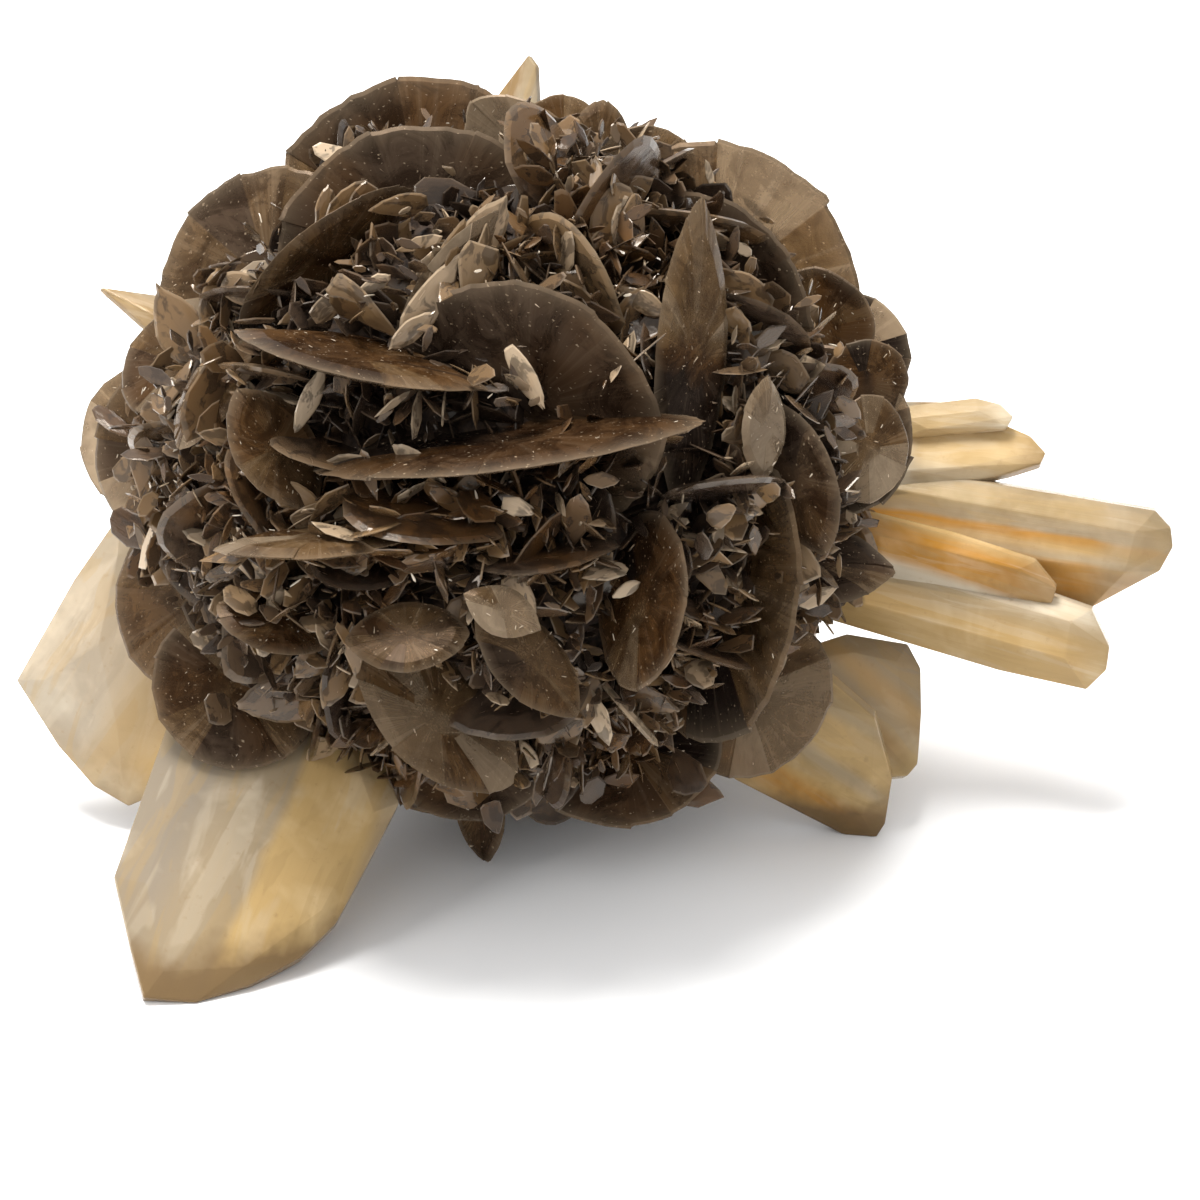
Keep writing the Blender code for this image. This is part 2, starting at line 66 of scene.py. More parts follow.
# The specimen is laid out as it is seen from the front: the eye looks down by this angle from this far, at
# a point this far across and up from the rose's centre.
SIGHT_TILT = math.radians(30.0)
EYE_DISTANCE = 433.3
EYE_ACROSS = 12.2
EYE_UP = -19.2
ACROSS = Vector((1.0, 0.0, 0.0))
UPWARD = Vector((0.0, math.sin(SIGHT_TILT), math.cos(SIGHT_TILT)))
TOWARD = Vector((0.0, -math.cos(SIGHT_TILT), math.sin(SIGHT_TILT)))
LENS_LENGTH = 100.0
SENSOR = 36.0

# Blades that fill the ball between those laid out one by one
FILL_SEED = 27
FILL_COUNT = 140
FILL_LENGTH = (13.0, 21.0)
FILL_WIDTH = (12.0, 18.0)
FILL_THICKNESS = (1.5, 2.2)
FILL_TAPER = (0.0, 0.5)
FILL_LEAN = 0.3
FILL_STRAY = 0.45
FILL_SINK = 2.5
FILL_CLEARANCE = 7.5
FILL_FLATTER = (1.0, 1.0, 0.6)
GROUP_COUNT = 22

# Where no leaves grow: blades whose bare share is over BARE_FACE, and over RIM_BARE for those bare to the rim
BARE_FACE = 0.7
RIM_BARE = 0.95
BARE_SHARE = 0.97
BARE_DEPTH = 4.5
BARE_FRONT = 13.0
BARE_BACK = 1.0
OUTLINE_SHARE = 0.235

# How far out leaves may stand by the heart's surface, or how near to a large blade, to be held by it
HELD_LEVEL = 1.13
HELD_GAP = 0.9

# Large blades: the segments that they grew in, and the pale end of those that fade
BIG_BLADE = 28
RIM_POINTS = {True: 96, False: 64}
SEGMENTS = (8, 12)
JOINT_DRIFT = 0.3
JOINT_HALF = 0.004
STRAIGHT = 0.3
STRAIGHT_GAIN = 0.03
SEGMENT_LEVELS = (-0.035, 0.012)
SEGMENT_TILT = 0.3
SEGMENT_SHADE = 0.2
PALE_SEGMENTS = 0.25
PALE_SHADES = (0.05, 0.2)
LEAF_SHADE = 0.3
RIM_RAGGED = 0.006
FADE_STEEPNESS = 12.0
SHELF_TAPER = 0.3
DISC_THINNING = 0.32
SHELF_THINNING = 0.75

# Share of the way to the rim and height, from the upper face down
DISC_PROFILE = ((0.3, 1.0), (0.7, 0.99), (0.97, 0.95), (0.985, 0.5), (1.0, 0.06),
                (1.0, -0.06), (0.985, -0.5), (0.97, -0.95), (0.7, -0.99), (0.3, -1.0))
SHELF_PROFILE = ((0.3, 1.0), (0.6, 1.0), (0.78, 0.97), (0.9, 0.48), (1.0, 0.04),
                 (1.0, -0.04), (0.9, -0.48), (0.78, -0.97), (0.6, -1.0), (0.3, -1.0))
LEAF_PROFILE = ((0.5, 1.0), (0.9, 0.72), (1.0, 0.0), (0.9, -0.72), (0.5, -1.0))
SMALL_PROFILE = ((0.88, 1.0), (1.0, 0.0), (0.88, -1.0))
RIM_STARTS = 0.7

# The form of a kind of leaf: corners of its outline, profile, how uneven the outline is, how far the flat
# faces stray from the middle, and the share of tips that broke off
Form = namedtuple("Form", "corners profile ragged skew broken")
FILL_FORM = Form(28, LEAF_PROFILE, 0.012, 0.1, 0.0)
MIDDLE_FORM = Form(10, LEAF_PROFILE, 0.06, 0.2, 0.45)
LAID_FORM = Form(24, LEAF_PROFILE, 0.03, 0.15, 0.25)
SMALL_FORM = Form(8, SMALL_PROFILE, 0.05, 0.1, 0.4)
SPECK_FORM = Form(6, SMALL_PROFILE, 0.1, 0.2, 0.0)
LOPSIDED = 0.5
BROKEN_TIP = (0.4, 0.9)
WHOLE_TIP = 9.0
PATTERN_SHIFT = 400

# The spread of a kind of leaf: length, width as a share of it, thickness, and how far it leans over
MIDDLE_SPREAD = ((5.0, 11.5), (0.26, 0.5), (0.3, 0.55), 0.45)
SMALL_SPREAD = ((2.4, 8.0), (0.22, 0.5), (0.14, 0.28), 0.6)
SPECK_SPREAD = ((0.4, 1.8), (0.12, 0.3), (0.08, 0.15), 1.5)
MIDDLE_LEVEL = (0.97, 1.08)
SPECK_LEVEL = (1.0, 1.16)
SMALL_LAYERS = {
    "rose_small_leaves_outer": (1.03, 1.15),
    "rose_small_leaves_middle": (0.99, 1.08),
    "rose_small_leaves_inner": (0.93, 1.02),
}
MIDDLE_TAPER = (0.4, 1.2)
SMALL_TAPER = (0.4, 1.1)
SPECK_TAPER = 0.4
SPECK_TONE_BIAS = 1.5
SPOT_DRIFT = 1.2
CLUSTER_SIZE = 14
FEWEST_CLUSTERS = 6
CLUSTER_SPREAD = 0.5
CLUSTER_LEAN = 0.7
SHORT_BIAS = 1.8
LEAF_TURN = (0.3, 0.7)

# Leaves in books and crumbs on a blade's face: how far out they go and their sizes. BOOK_LEVELS says how deep
# and how far out of the ball books stand, the last one beside a bare blade. BOOK_TONE gives the share of the
# blade's tone that they take, what is added and how much they differ.
FACE_SHARE = 0.8
BOOK_LEVELS = (0.86, 1.3, 1.09)
BOOK_LIFT = (0.5, 4.2)
BOOK_SHARE = (0.2, 0.45)
BOOK_LENGTH = (4.0 * MM, 10.0 * MM)
BOOK_SLIM = (0.3, 0.6)
BOOK_THIN = (0.25, 0.5)
BOOK_TAPER = (0.3, 1.1)
BOOK_TURN = (0.4, 0.9)
BOOK_TONE = (0.7, 0.12, 0.18)
CRUMB_LENGTH = (0.15, 0.75)
CRUMB_BIAS = 2.5
CRUMB_SLIM = (0.1, 0.3)
CRUMB_THIN = 0.1
CRUMB_TURN = (0.3, 3.0)

# Leaves laid out one by one: where the ball's surface is looked for, and their thickness, width and tone
NEAREST = 60.0
DEPTH_STEP = 0.5
DEPTH_STEPS = 180
LAID_LEVEL = 1.1
LAID_THICKNESS = 0.5
LAID_SLIMMER = 0.85
LAID_DARKER = 0.12

# Tones: the middle of each kind of leaf, how much they differ, the share and gain of much paler leaves,
# partly a paler colour and partly painted glints, and painted shade: leaves darker toward their roots deep in
# the rose and lighter further out
FILL_TONE = 0.22
MIDDLE_TONE = 0.28
SMALL_TONE = 0.3
TONE_SPREAD = 0.14
PALE_AND_GLINT_LEAVES = 0.18
PALE_AND_GLINT_GAIN = (0.15, 0.8)
DEPTH_PAINTED_SHADE = 2.6
DEPTH_PAINTED_SHADE_LEVELS = (1.05, 1.1)

# A blade of the rose. Its middle is given as it is seen, across and up from the rose's centre, and by how
# far it stands toward the viewer. turn is its long axis's angle in the view, dip leans that axis toward the
# viewer, and facing rolls it about that axis: 0 shows its flat face and 90 its edge. taper is 0 for a disc,
# 1 for a leaf. tone runs from 0, nearly black, to 1, pale tan, and bare is how much of its face carries no
# smaller leaves. fade is how much paler the blade gets toward the end that turn points to.
Blade = namedtuple(
    "Blade", "name across up toward turn dip facing length width thickness taper tone bare fade",
    defaults=(0,))

ROSE_BLADES = [Blade(*row) for row in (
    ("crown_back", -10.5, 28, -6, 0, 0, 8, 43, 42, 2.2, 0, 0.5, 0.95),
    ("crown_front", -11, 25, 18, 8, 0, 10, 37, 34, 2.2, 0, 0.17, 0.95),
    ("shoulder_left", -30.5, 21.5, 6, 60, 0, -12, 32, 30, 2, 0, 0.5, 0.95),
    ("shoulder_right", 26.5, 20.5, -3, -40, 0, 8, 42, 39, 2.2, 0, 0.5, 0.95),
    ("shoulder_right_front", 25.5, 19, 13, -50, 0, 26, 33, 27, 1.8, 0.1, 0.34, 0.9),
    ("ear_right", 44, 13, -9, -30, 0, 8, 18, 16.5, 1.8, 0, 0.25, 1),
    ("ear_right_front", 40.5, 16, 0, -60, 0, 18, 17, 15, 1.6, 0, 0.45, 0.95),
    ("cheek_right", 42, 2.5, 3, -70, 0, 14, 23, 22, 2, 0, 0.35, 0.9),
    ("spur_right", 40, -14.5, 7, -6, 0, -30, 21, 12, 1.6, 0.6, 0.35, 0.7),
    ("hem_right", 31, -31, 1, 40, 0, 8, 24, 23, 1.8, 0, 0.7, 0.95),
    ("great_disc_right", 25, -14.5, 13, 96, 0, -50, 46, 38, 2.2, 0.05, 0.34, 0.85),
    ("hem_bottom", 15, -37.5, 4, 4, 0, -16, 27, 23, 2, 0, 0.2, 0.3),
    ("hem_bottom_left", -4, -38.5, 8, 20, 0, 10, 22, 19, 1.8, 0, 0.3, 0.5),
    ("hem_left", -35, -30.5, 9, -30, 0, -14, 22, 21, 1.9, 0, 0.45, 0.6),
    ("flank_left_low", -39.5, -18.5, 3, 75, 0, -18, 27, 25, 1.9, 0, 0.48, 0.5),
    ("flank_left", -42.5, 0, 2, 85, 0, -15, 26, 24, 1.9, 0, 0.35, 0.5),
    ("flank_left_high", -42.5, 11.5, 6, 40, 0, -28, 17, 16, 1.6, 0.1, 0.5, 0.8),
    ("pale_disc_left", -46.8, 1.8, -12, 90, 0, -6, 20, 18, 1.6, 0, 0.9, 1),
    ("crown_gold", 3.5, 38, 4, -42, 0, 20, 22, 13, 1.8, 0.2, 0.85, 0.95),
    ("crown_grey", 7.5, 41, -6, -30, 0, 10, 12, 11, 1.6, 0.1, 0.5, 0.95),
    ("skyline_tip", 12, 39, -4, 85, 0, 10, 14, 9, 1.6, 0.4, 0.55, 0.95),
    ("skyline_plate", 17.5, 36.5, -2, 20, 0, 15, 15, 12, 1.6, 0.2, 0.6, 0.95),
    ("plate_right_dark", 46.5, 9, 6, 20, 0, 10, 12, 11, 1.4, 0, 0.25, 0.95),
    ("plate_right_low", 47, 0.5, 8, 85, 0, 12, 14, 11, 1.4, 0, 0.7, 0.95),
    ("amber_shelf", -19, 12, 40, -13, 4, -70, 31, 17, 2.2, 0.55, 0.34, 0.9),
    ("long_shelf", 0.5, 1, 41, 7, 2, -71, 47, 22, 2.4, 0.45, 0.16, 0.9),
    ("brow_disc", 2.5, 6, 36, -26, 4, 30, 36, 31, 2, 0.1, 0.22, 0.9),
    ("tall_spear", 24, 12.5, 34, 86, 6, 38, 38, 11, 2.2, 0.55, 0.25, 1, 0.45),
    ("pocket_wall", -23.5, 25.5, 27, 38, 0, 56, 27, 12, 2, 0.4, 0.48, 0.9),
    ("pocket_ridge", -7.5, 21.5, 35, 56, 6, 44, 22, 9, 2, 0.6, 0.9, 0.6),
    ("inner_disc_right", 17.6, -19, 35, 84, 0, -54, 22, 18, 1.8, 0.1, 0.3, 0.8),
    ("grey_leaf", -12.8, -24, 39.5, 4, 0, -28, 15, 9.5, 1.7, 0.5, 0.5, 0.8),
    ("grey_leaf_right", 2.8, -27, 38, -48, 0, -32, 18, 10, 1.7, 0.5, 0.4, 0.8),
    ("amber_disc_low", -9, -34.3, 28.5, -43, 0, -24, 25, 14, 1.8, 0.3, 0.72, 0.9),
    ("pale_fan", -0.5, -20.7, 44.5, -25, 0, -12, 10, 6, 1.2, 0.9, 0.9, 1),
    ("bright_leaf", 33.5, 3, 32, 86, 0, 44, 13, 8, 1.4, 0.8, 0.98, 1),
    ("dark_leaf_right", 37.5, -3, 26, -68, 0, 40, 21, 12, 1.7, 0.5, 0.3, 0.8),
    ("amber_leaf_left", -38, 8, 24, 58, 0, -44, 17, 10, 1.6, 0.5, 0.6, 0.8),
    ("left_cup", -30, 0.5, 36, -58, 0, -30, 17, 11, 1.7, 0.4, 0.42, 0.8),
    ("left_shelf", -24, -11.5, 40, 4, 0, -74, 26, 15, 2, 0.5, 0.58, 0.6),
    ("left_low_disc", -29.5, -22, 29, -14, 0, -46, 16, 11, 1.7, 0.4, 0.35, 0.5),
    ("under_spur", -3.4, -46.5, -3, -82, 0, 20, 14, 7, 1.5, 0.6, 0.35, 1),
    ("rest_front", -5, -31.6, -27.4, 0, 0, 24, 22, 20, 2.4, 0, 0.3, 0.5),
    ("rest_back", 9, -27, -35.4, 8, 0, 36, 22, 20, 2.4, 0, 0.3, 0.5),
)]
REST_BLADES = ("rest_front", "rest_back")
AMBER_BLADES = (
    "amber_shelf", "long_shelf", "left_shelf", "tall_spear", "pocket_wall", "amber_disc_low", "crown_gold",
    "amber_leaf_left", "great_disc_right", "left_low_disc", "inner_disc_right", "plate_right_low")

# Leaves laid out one by one on the rose's near side. Each is given by where its middle is seen, its angle in
# the view, how far it is rolled about its length, its size, its taper and its tone.
Leaf = namedtuple("Leaf", "across up turn facing length width taper tone")

# The leaves of tone 1 are pale leaves set where a glint shows: painted highlights
LAID_LEAVES = [Leaf(*row) for row in (
    (-9.9, 19.8, 56, 25, 14, 4.6, 0.8, 0.88), (-4, 26.9, 58, 20, 14, 6, 0.7, 0.82),
    (-3.8, 23.7, 75, 30, 9, 6, 0.4, 0.75), (-12.2, 15.9, 40, 30, 7, 3.2, 0.8, 0.9),
    (-7.9, 24.3, 66, 40, 12, 4.2, 0.8, 0.7), (-19.4, 19.4, -40, 30, 14, 4.4, 0.6, 0.76),
    (-22.8, 19.1, 35, 25, 8, 3.6, 0.8, 0.82), (-17.4, 21.7, 30, 20, 5, 2.2, 0.6, 1),
    (-20.9, 32.1, 50, 25, 8, 4, 0.5, 0.62), (-23.5, 30.4, 85, 30, 8, 3.6, 0.5, 0.58),
    (-13.8, 32.1, 10, 35, 8, 3.6, 0.6, 0.6), (-18.3, 33.4, 60, 30, 7, 3.6, 0.5, 0.5),
    (-33.9, 21.1, -20, 15, 9, 4.6, 0.9, 0.78), (-38.1, 19.8, 80, 20, 9, 4, 0.7, 0.68),
    (-42.6, 16.5, 118, 10, 12, 7.5, 1, 0.62), (-38.4, 8.2, 65, 30, 14, 6, 0.9, 0.52),
    (-25.5, 6.9, 65, 25, 9, 3, 0.9, 1), (2.2, 10.3, -60, 20, 10, 3.3, 0.9, 1),
    (-19, -1.8, -2, 35, 10, 3.8, 0.9, 0.86), (-11.4, -1.4, -35, 25, 8, 3, 0.9, 0.95),
    (-25.5, -8.2, 30, 30, 8, 3.2, 0.9, 0.78), (-26.8, -6.2, -25, 20, 8, 4.2, 0.6, 0.72),
    (-18.7, -14.6, 50, 40, 8, 3.2, 0.9, 0.62), (-31.1, -22.1, 85, 10, 8.5, 3, 0.2, 0.95),
    (1.6, -19.2, -70, 10, 8, 4.6, 0.8, 0.9), (-35.4, -30.8, 2, 15, 6, 2.6, 0.8, 1),
    (-28.9, -31.9, 10, 20, 12, 8, 0.3, 0.42), (-21.5, -28.5, 65, 25, 10, 4.2, 0.8, 0.62),
    (-24.2, -26.4, 40, 20, 8, 5, 0.7, 0.5), (13.7, 30.8, 65, 15, 10, 6, 1, 0.65),
    (16.4, 29.9, 82, 35, 9, 4.6, 0.9, 0.6), (30.7, 20.4, -20, 20, 9, 6.6, 0.3, 0.62),
    (36.9, 10, -40, 20, 8, 5.2, 0.3, 0.58), (37.6, -14.4, -65, 20, 12, 6.2, 0.7, 0.78),
    (34.6, -24.4, -75, 25, 8, 4.2, 0.6, 0.78), (25.7, -39.4, -20, 10, 7, 3, 0.8, 1),
    (3, -39.4, -60, 10, 5, 2.2, 0.8, 1), (15.5, -17.9, 30, 20, 4, 2, 0.7, 1),
    (20.6, -26.4, 62, 30, 8, 2.6, 0.6, 0.9), (4, -11.8, 50, 60, 12, 4, 0.9, 0.35),
    (-7.3, -6.2, -30, 40, 8, 3.6, 0.8, 0.48), (-9.9, -14, 15, 45, 9, 4, 0.9, 0.45),
    (10.9, -32.2, 80, 20, 7, 3.6, 0.8, 0.58), (17.4, 19.8, -30, 20, 7, 3.2, 0.8, 0.8),
    (-46, -14, 60, 10, 10, 7, 0.4, 0.36), (-47.2, 6.8, 70, 10, 9, 5.2, 0.5, 0.5),
    (7, -36.1, 20, 20, 7, 4.2, 0.7, 0.52), (18.7, -32.2, -20, 25, 8, 4, 0.8, 0.5),
)]

# A honey crystal, convex and flat-faced. plane holds three points of its middle plane (across, up, toward).
# rim is its outline in that plane as it is seen, and front holds the corners of its near faces, each with
# its height above the plane. The far side has the same corners. rim_half is half the thickness left at the
# outline. turn is the angle in the view that its length runs in. across and along give its colours from
# side to side and from root to tip, and cloud is how milky it is.
Crystal = namedtuple("Crystal", "plane rim front rim_half turn across along cloud")

GREY = (0.26, 0.222, 0.175)
CREAM = (0.42, 0.32, 0.19)
HONEY = (0.53, 0.36, 0.155)
YELLOW = (0.56, 0.385, 0.165)
ORANGE = (0.5, 0.23, 0.028)
TAN = (0.26, 0.165, 0.078)
WHITE = (0.64, 0.57, 0.45)
PALE = (0.38, 0.325, 0.25)
SAND = (0.34, 0.245, 0.12)
DUSK = (0.4, 0.27, 0.13)
DULL = (0.33, 0.26, 0.17)
CLEAR = None

# Worn edges, growth steps, painted shade that makes each face lighter or darker by the way it points, and a
# darkening of the lowest few millimetres, near the table
SMOOTHER = 1.5
GRAIN_PASSES = 5
STEP_STRETCH = (0.05, 0.35, 0.3)
STEP_LEVEL = 0.3
SOFT_ANGLE = 6.0
PAINTED_FACET_WAVE = Vector((4.0, 3.0, 7.0))
PAINTED_FACET_SHADE = 0.3
LOW_DARKENING = 0.9
LOW_DARKENING_HEIGHT = (0.0035, 0.0065)
LOW_DARKENING_DRIFT = 0.003
BAND_DRIFT = 0.06
ALONG_SHARE = 0.7
MILK_SHARE = 0.4
VEIL_SHARE = 0.35

FRONT_BLADE = Crystal(
    plane=((-47.2, -71.2, 19.8), (-33.3, -69.3, 17.2), (-33, -35, 4)),
    rim=((-42, -30), (-46.3, -43.9), (-51, -55.5), (-48.9, -64.7), (-47.2, -71.2), (-40.4, -71.8),
         (-33.3, -69.5), (-26.8, -66), (-22.2, -61.5), (-18.3, -54.3), (-14, -45.9), (-21, -27),
         (-35, -24)),
    front=((-42.8, -45, 3), (-46.8, -56, 2.4), (-44.6, -67.5, 2.2), (-34, -66.8, 2.6),
           (-24, -59.5, 2.6), (-17.2, -46.8, 2.8), (-23, -30, 3.2), (-36, -28, 3.2),
           (-32.6, -55.6, 3.7), (-28.1, -43.9, 3.8)),
    rim_half=1.1, turn=-112,
    across=((0, GREY), (0.2, GREY), (0.4, DULL), (0.55, DULL), (0.62, YELLOW), (0.75, YELLOW), (0.92, YELLOW),
            (1, CREAM)),
    along=((0, DUSK), (0.25, CLEAR), (0.85, CLEAR), (0.95, TAN), (1, TAN)), cloud=0.6,
)
LEFT_BLADE = Crystal(
    plane=((-63.4, -29.6, -13), (-48.9, -45.9, -12), (-35, -20, -9)),
    rim=((-50, -8), (-56, -16.6), (-63.4, -29.6), (-58, -38.1), (-53.4, -43.3), (-48.9, -45.9),
         (-42, -43), (-29, -27), (-31, -12)),
    front=((-50.5, -13.5, 2.4), (-60, -29.6, 1.8), (-50, -41.5, 2), (-43, -38, 2.4),
           (-33, -25, 2.8), (-34, -14, 2.8), (-53, -25, 3.1), (-50.5, -36, 3)),
    rim_half=0.9, turn=-120,
    across=((0, PALE), (0.35, PALE), (0.55, CREAM), (0.8, YELLOW), (1, DUSK)),
    along=((0, CLEAR), (0.8, CLEAR), (1, DULL)), cloud=0.4,
)
LOW_RIGHT_UPPER = Crystal(
    plane=((53, -28, -15), (52, -42, -11), (33, -27, -10)),
    rim=((44, -23.8), (51.9, -25.1), (53.6, -28.3), (53.7, -34), (53.2, -40.7), (51.9, -42.2),
         (44, -43), (34, -39), (28, -29)),
    front=((45, -26, 2.4), (50.8, -27.2, 2.2), (51.6, -33.5, 2.2), (49.8, -40, 1.9), (43, -40.8, 2.4),
           (34, -34, 2.8), (46.5, -33, 3)),
    rim_half=1, turn=-40,
    across=((0, HONEY), (0.3, DUSK), (0.4, SAND), (0.5, TAN), (0.58, DULL), (0.7, DUSK), (0.8, DULL), (1,
            GREY)),
    along=((0, CLEAR), (0.8, CLEAR), (1, SAND)), cloud=0.3,
)
LOW_RIGHT_LOWER = Crystal(
    plane=((48.5, -49, -12.8), (33, -43, -12), (34, -30, -5)),
    rim=((41, -28), (48, -34), (50.2, -42), (49.3, -47.8), (48, -49.8), (44.7, -49.6),
         (38.2, -45.8), (29.8, -42), (24, -36), (27, -27)),
    front=((42, -33, 2.6), (47.6, -42, 2.4), (46.2, -47.2, 2), (39.6, -43.8, 2.4), (29, -38.5, 2.8),
           (28, -30, 2.8), (38, -38.5, 3.3)),
    rim_half=1.1, turn=-32,
    across=((0, HONEY), (0.2, ORANGE), (0.32, YELLOW), (0.45, CREAM), (0.55, YELLOW), (0.7, HONEY), (0.8,
            CREAM),
            (1, HONEY)),
    along=((0, CLEAR), (0.85, CLEAR), (1, DUSK)), cloud=0.3,
)
UPPER_PRISM = Crystal(
    plane=((40, -5, -13), (85, -12, -6), (62, -16, -11)),
    rim=((32, 0.8), (55.1, -2.5), (84.4, -7.4), (86.4, -9.6), (86.7, -12.1), (85, -15.2), (76, -20),
         (32, -13)),
    front=((32, -1.6, 3.6), (81.8, -10.4, 4), (32, -8.5, 4.6), (80.5, -15.6, 4.4)),
    rim_half=1.4, turn=-9,
    across=((0, HONEY), (0.14, ORANGE), (0.32, ORANGE), (0.4, CREAM), (0.47, HONEY), (0.56, ORANGE), (0.62,
            DULL),
            (0.8, SAND), (1, DULL)),
    along=((0, CLEAR), (0.78, CLEAR), (0.88, DULL), (1, CREAM)), cloud=0.35,
)
LOWER_PRISM = Crystal(
    plane=((40, -14, -12), (76, -25, -6), (60, -27, -10)),
    rim=((32, -7.5), (60, -14.5), (76.2, -20.2), (78.5, -25.1), (78.1, -28.1), (75.5, -30.6),
         (64.2, -28.1), (32, -18.5)),
    front=((32, -10.5, 3.6), (73.4, -22, 3.8), (32, -15.5, 3.8), (72.6, -26.8, 3.8)),
    rim_half=1.3, turn=-15,
    across=((0, HONEY), (0.4, HONEY), (0.6, CREAM), (0.8, WHITE), (1, WHITE)),
    along=((0, WHITE), (0.3, CLEAR), (0.8, CLEAR), (1, CREAM)), cloud=0.6,
)
INNER_BLADE = Crystal(
    plane=((44, -11, -7), (70, -17, -3.5), (60, -18, -6)),
    rim=((32, -4), (58, -10.5), (68.8, -14), (71.6, -17.4), (71, -19.4), (62, -19),
         (32, -13)),
    front=((32, -6.5, 2.2), (66.5, -15.2, 2.2), (67.5, -17.8, 2), (32, -11, 2.2)),
    rim_half=0.8, turn=-17,
    across=((0, WHITE), (0.35, WHITE), (0.5, ORANGE), (0.8, ORANGE), (1, YELLOW)),
    along=((0, CLEAR), (0.7, CLEAR), (1, TAN)), cloud=0.5,
)
UPPER_RIGHT_BLADE = Crystal(
    plane=((44, 2, -12), (68, 0, -10), (56, -4, -9)),
    rim=((34, 6.5), (58, 6.2), (68.1, 1.8), (70.1, -0.4), (69.4, -1.8), (65.5, -3), (59, -4.4),
         (34, -7)),
    front=((34, 4, 2), (57, 3.8, 2.2), (66.5, -0.4, 1.8), (60, -1.8, 2.6), (34, -3.5, 2.8)),
    rim_half=0.9, turn=-6,
    across=((0, CREAM), (0.35, CREAM), (0.6, HONEY), (0.8, HONEY), (1, TAN)),
    # The white band halfway along is a painted highlight
    along=((0, CLEAR), (0.42, CLEAR), (0.5, WHITE), (0.58, CLEAR), (0.85, CLEAR), (1, TAN)), cloud=0.6,
)
UPPER_RIGHT_CHIP = Crystal(
    plane=((54, 5, -9.5), (65, 4.5, -9), (58, 2, -8.5)),
    rim=((48, 5.4), (61, 6.9), (64.2, 6.1), (65.9, 4.5), (65, 3), (52, 1.8)),
    front=((52, 4.4, 1.5), (61.5, 5.4, 1.5), (63.6, 4.3, 1.3), (55, 3, 1.6)),
    rim_half=0.6, turn=-4,
    across=((0, HONEY), (1, CREAM)),
    along=((0, CLEAR), (0.6, CLEAR), (1, WHITE)), cloud=0.5,
)
TOP_SPIKE = Crystal(
    plane=((0, 30, -16), (3, 51, -15), (4, 40, -14)),
    rim=((-3.6, 30), (-1.6, 45.4), (3.1, 51.6), (4.1, 50.2), (4.4, 43), (3.6, 30)),
    front=((0.4, 30, 1.7), (2.9, 49.2, 0.8), (1.9, 44, 1.6)),
    rim_half=0.5, turn=76,
    across=((0, TAN), (0.3, GREY), (0.6, DULL), (0.75, TAN), (1, TAN)),
    along=((0, TAN), (0.4, CLEAR), (1, CLEAR)), cloud=0.5,
)
LEFT_SPIKE = Crystal(
    plane=((-52.8, 21, -7), (-34, 15, -9), (-46, 16, -6)),
    rim=((-52.8, 21.2), (-45.6, 20.2), (-31, 16.5), (-32, 11.5), (-46.5, 15.6)),
    front=((-49.5, 19.6, 0.9), (-45.8, 18, 1.5), (-32, 14, 1.6)),
    rim_half=0.5, turn=162,
    across=((0, GREY), (0.5, TAN), (1, TAN)),
    along=((0, TAN), (0.5, CLEAR), (1, CLEAR)), cloud=0.5,
)

HONEY_GROUPS = {
    "honey_blade_front": (FRONT_BLADE,),
    "honey_blade_left": (LEFT_BLADE,),
    "honey_blades_low_right": (LOW_RIGHT_UPPER, LOW_RIGHT_LOWER),
    "honey_cluster_right": (UPPER_PRISM, LOWER_PRISM, INNER_BLADE, UPPER_RIGHT_BLADE, UPPER_RIGHT_CHIP),
    "honey_spike_top": (TOP_SPIKE,),
    "honey_spike_left": (LEFT_SPIKE,),
}


# Looks
IOR = 1.52
BLADE_DENSITY = 620.0
BLADE_LIGHT = (0.6, 0.42, 0.24)
BLADE_SHINE = (0.5, 0.34, 0.22, 1.0)
BLADE_SMOKE = (0.36, 0.32, 0.3)
AMBER_WARMTH = 0.3
LEAF_GAIN = 1.5
LEAF_CLEAR = 0.35
LEAF_SHINE = (0.85, 0.78, 0.7, 1.0)
SPECK_GLINT_TOP = (0.7, 0.62, 0.5, 1.0)
HONEY_DENSITY = 110.0
HONEY_LIGHT = (0.9, 0.7, 0.42)
HONEY_SHINE = (0.9, 0.75, 0.55, 1.0)
HONEY_CLEAR = (0.6, 0.45)

# The rose's heart and the stage. Each lamp has its place, size, share of the main light's power and colour.
HEART_LEVEL = 0.93
HEART_LUMPS = ((5.0, 0.04), (17.0, 0.03))
TABLE_DROP = 0.0001
SKY_FADE = ((0.0, (0.4, 0.4, 0.41, 1.0)), (0.8, (1.0, 1.0, 1.0, 1.0)))
LAMPS = (
    ("key", (-0.16, 0.1, 0.85), 0.42, 1.0, (1.0, 0.99, 0.97)),
    ("side_fill", (-0.75, -0.35, 0.45), 0.3, 0.16, (1.0, 1.0, 1.0)),
)


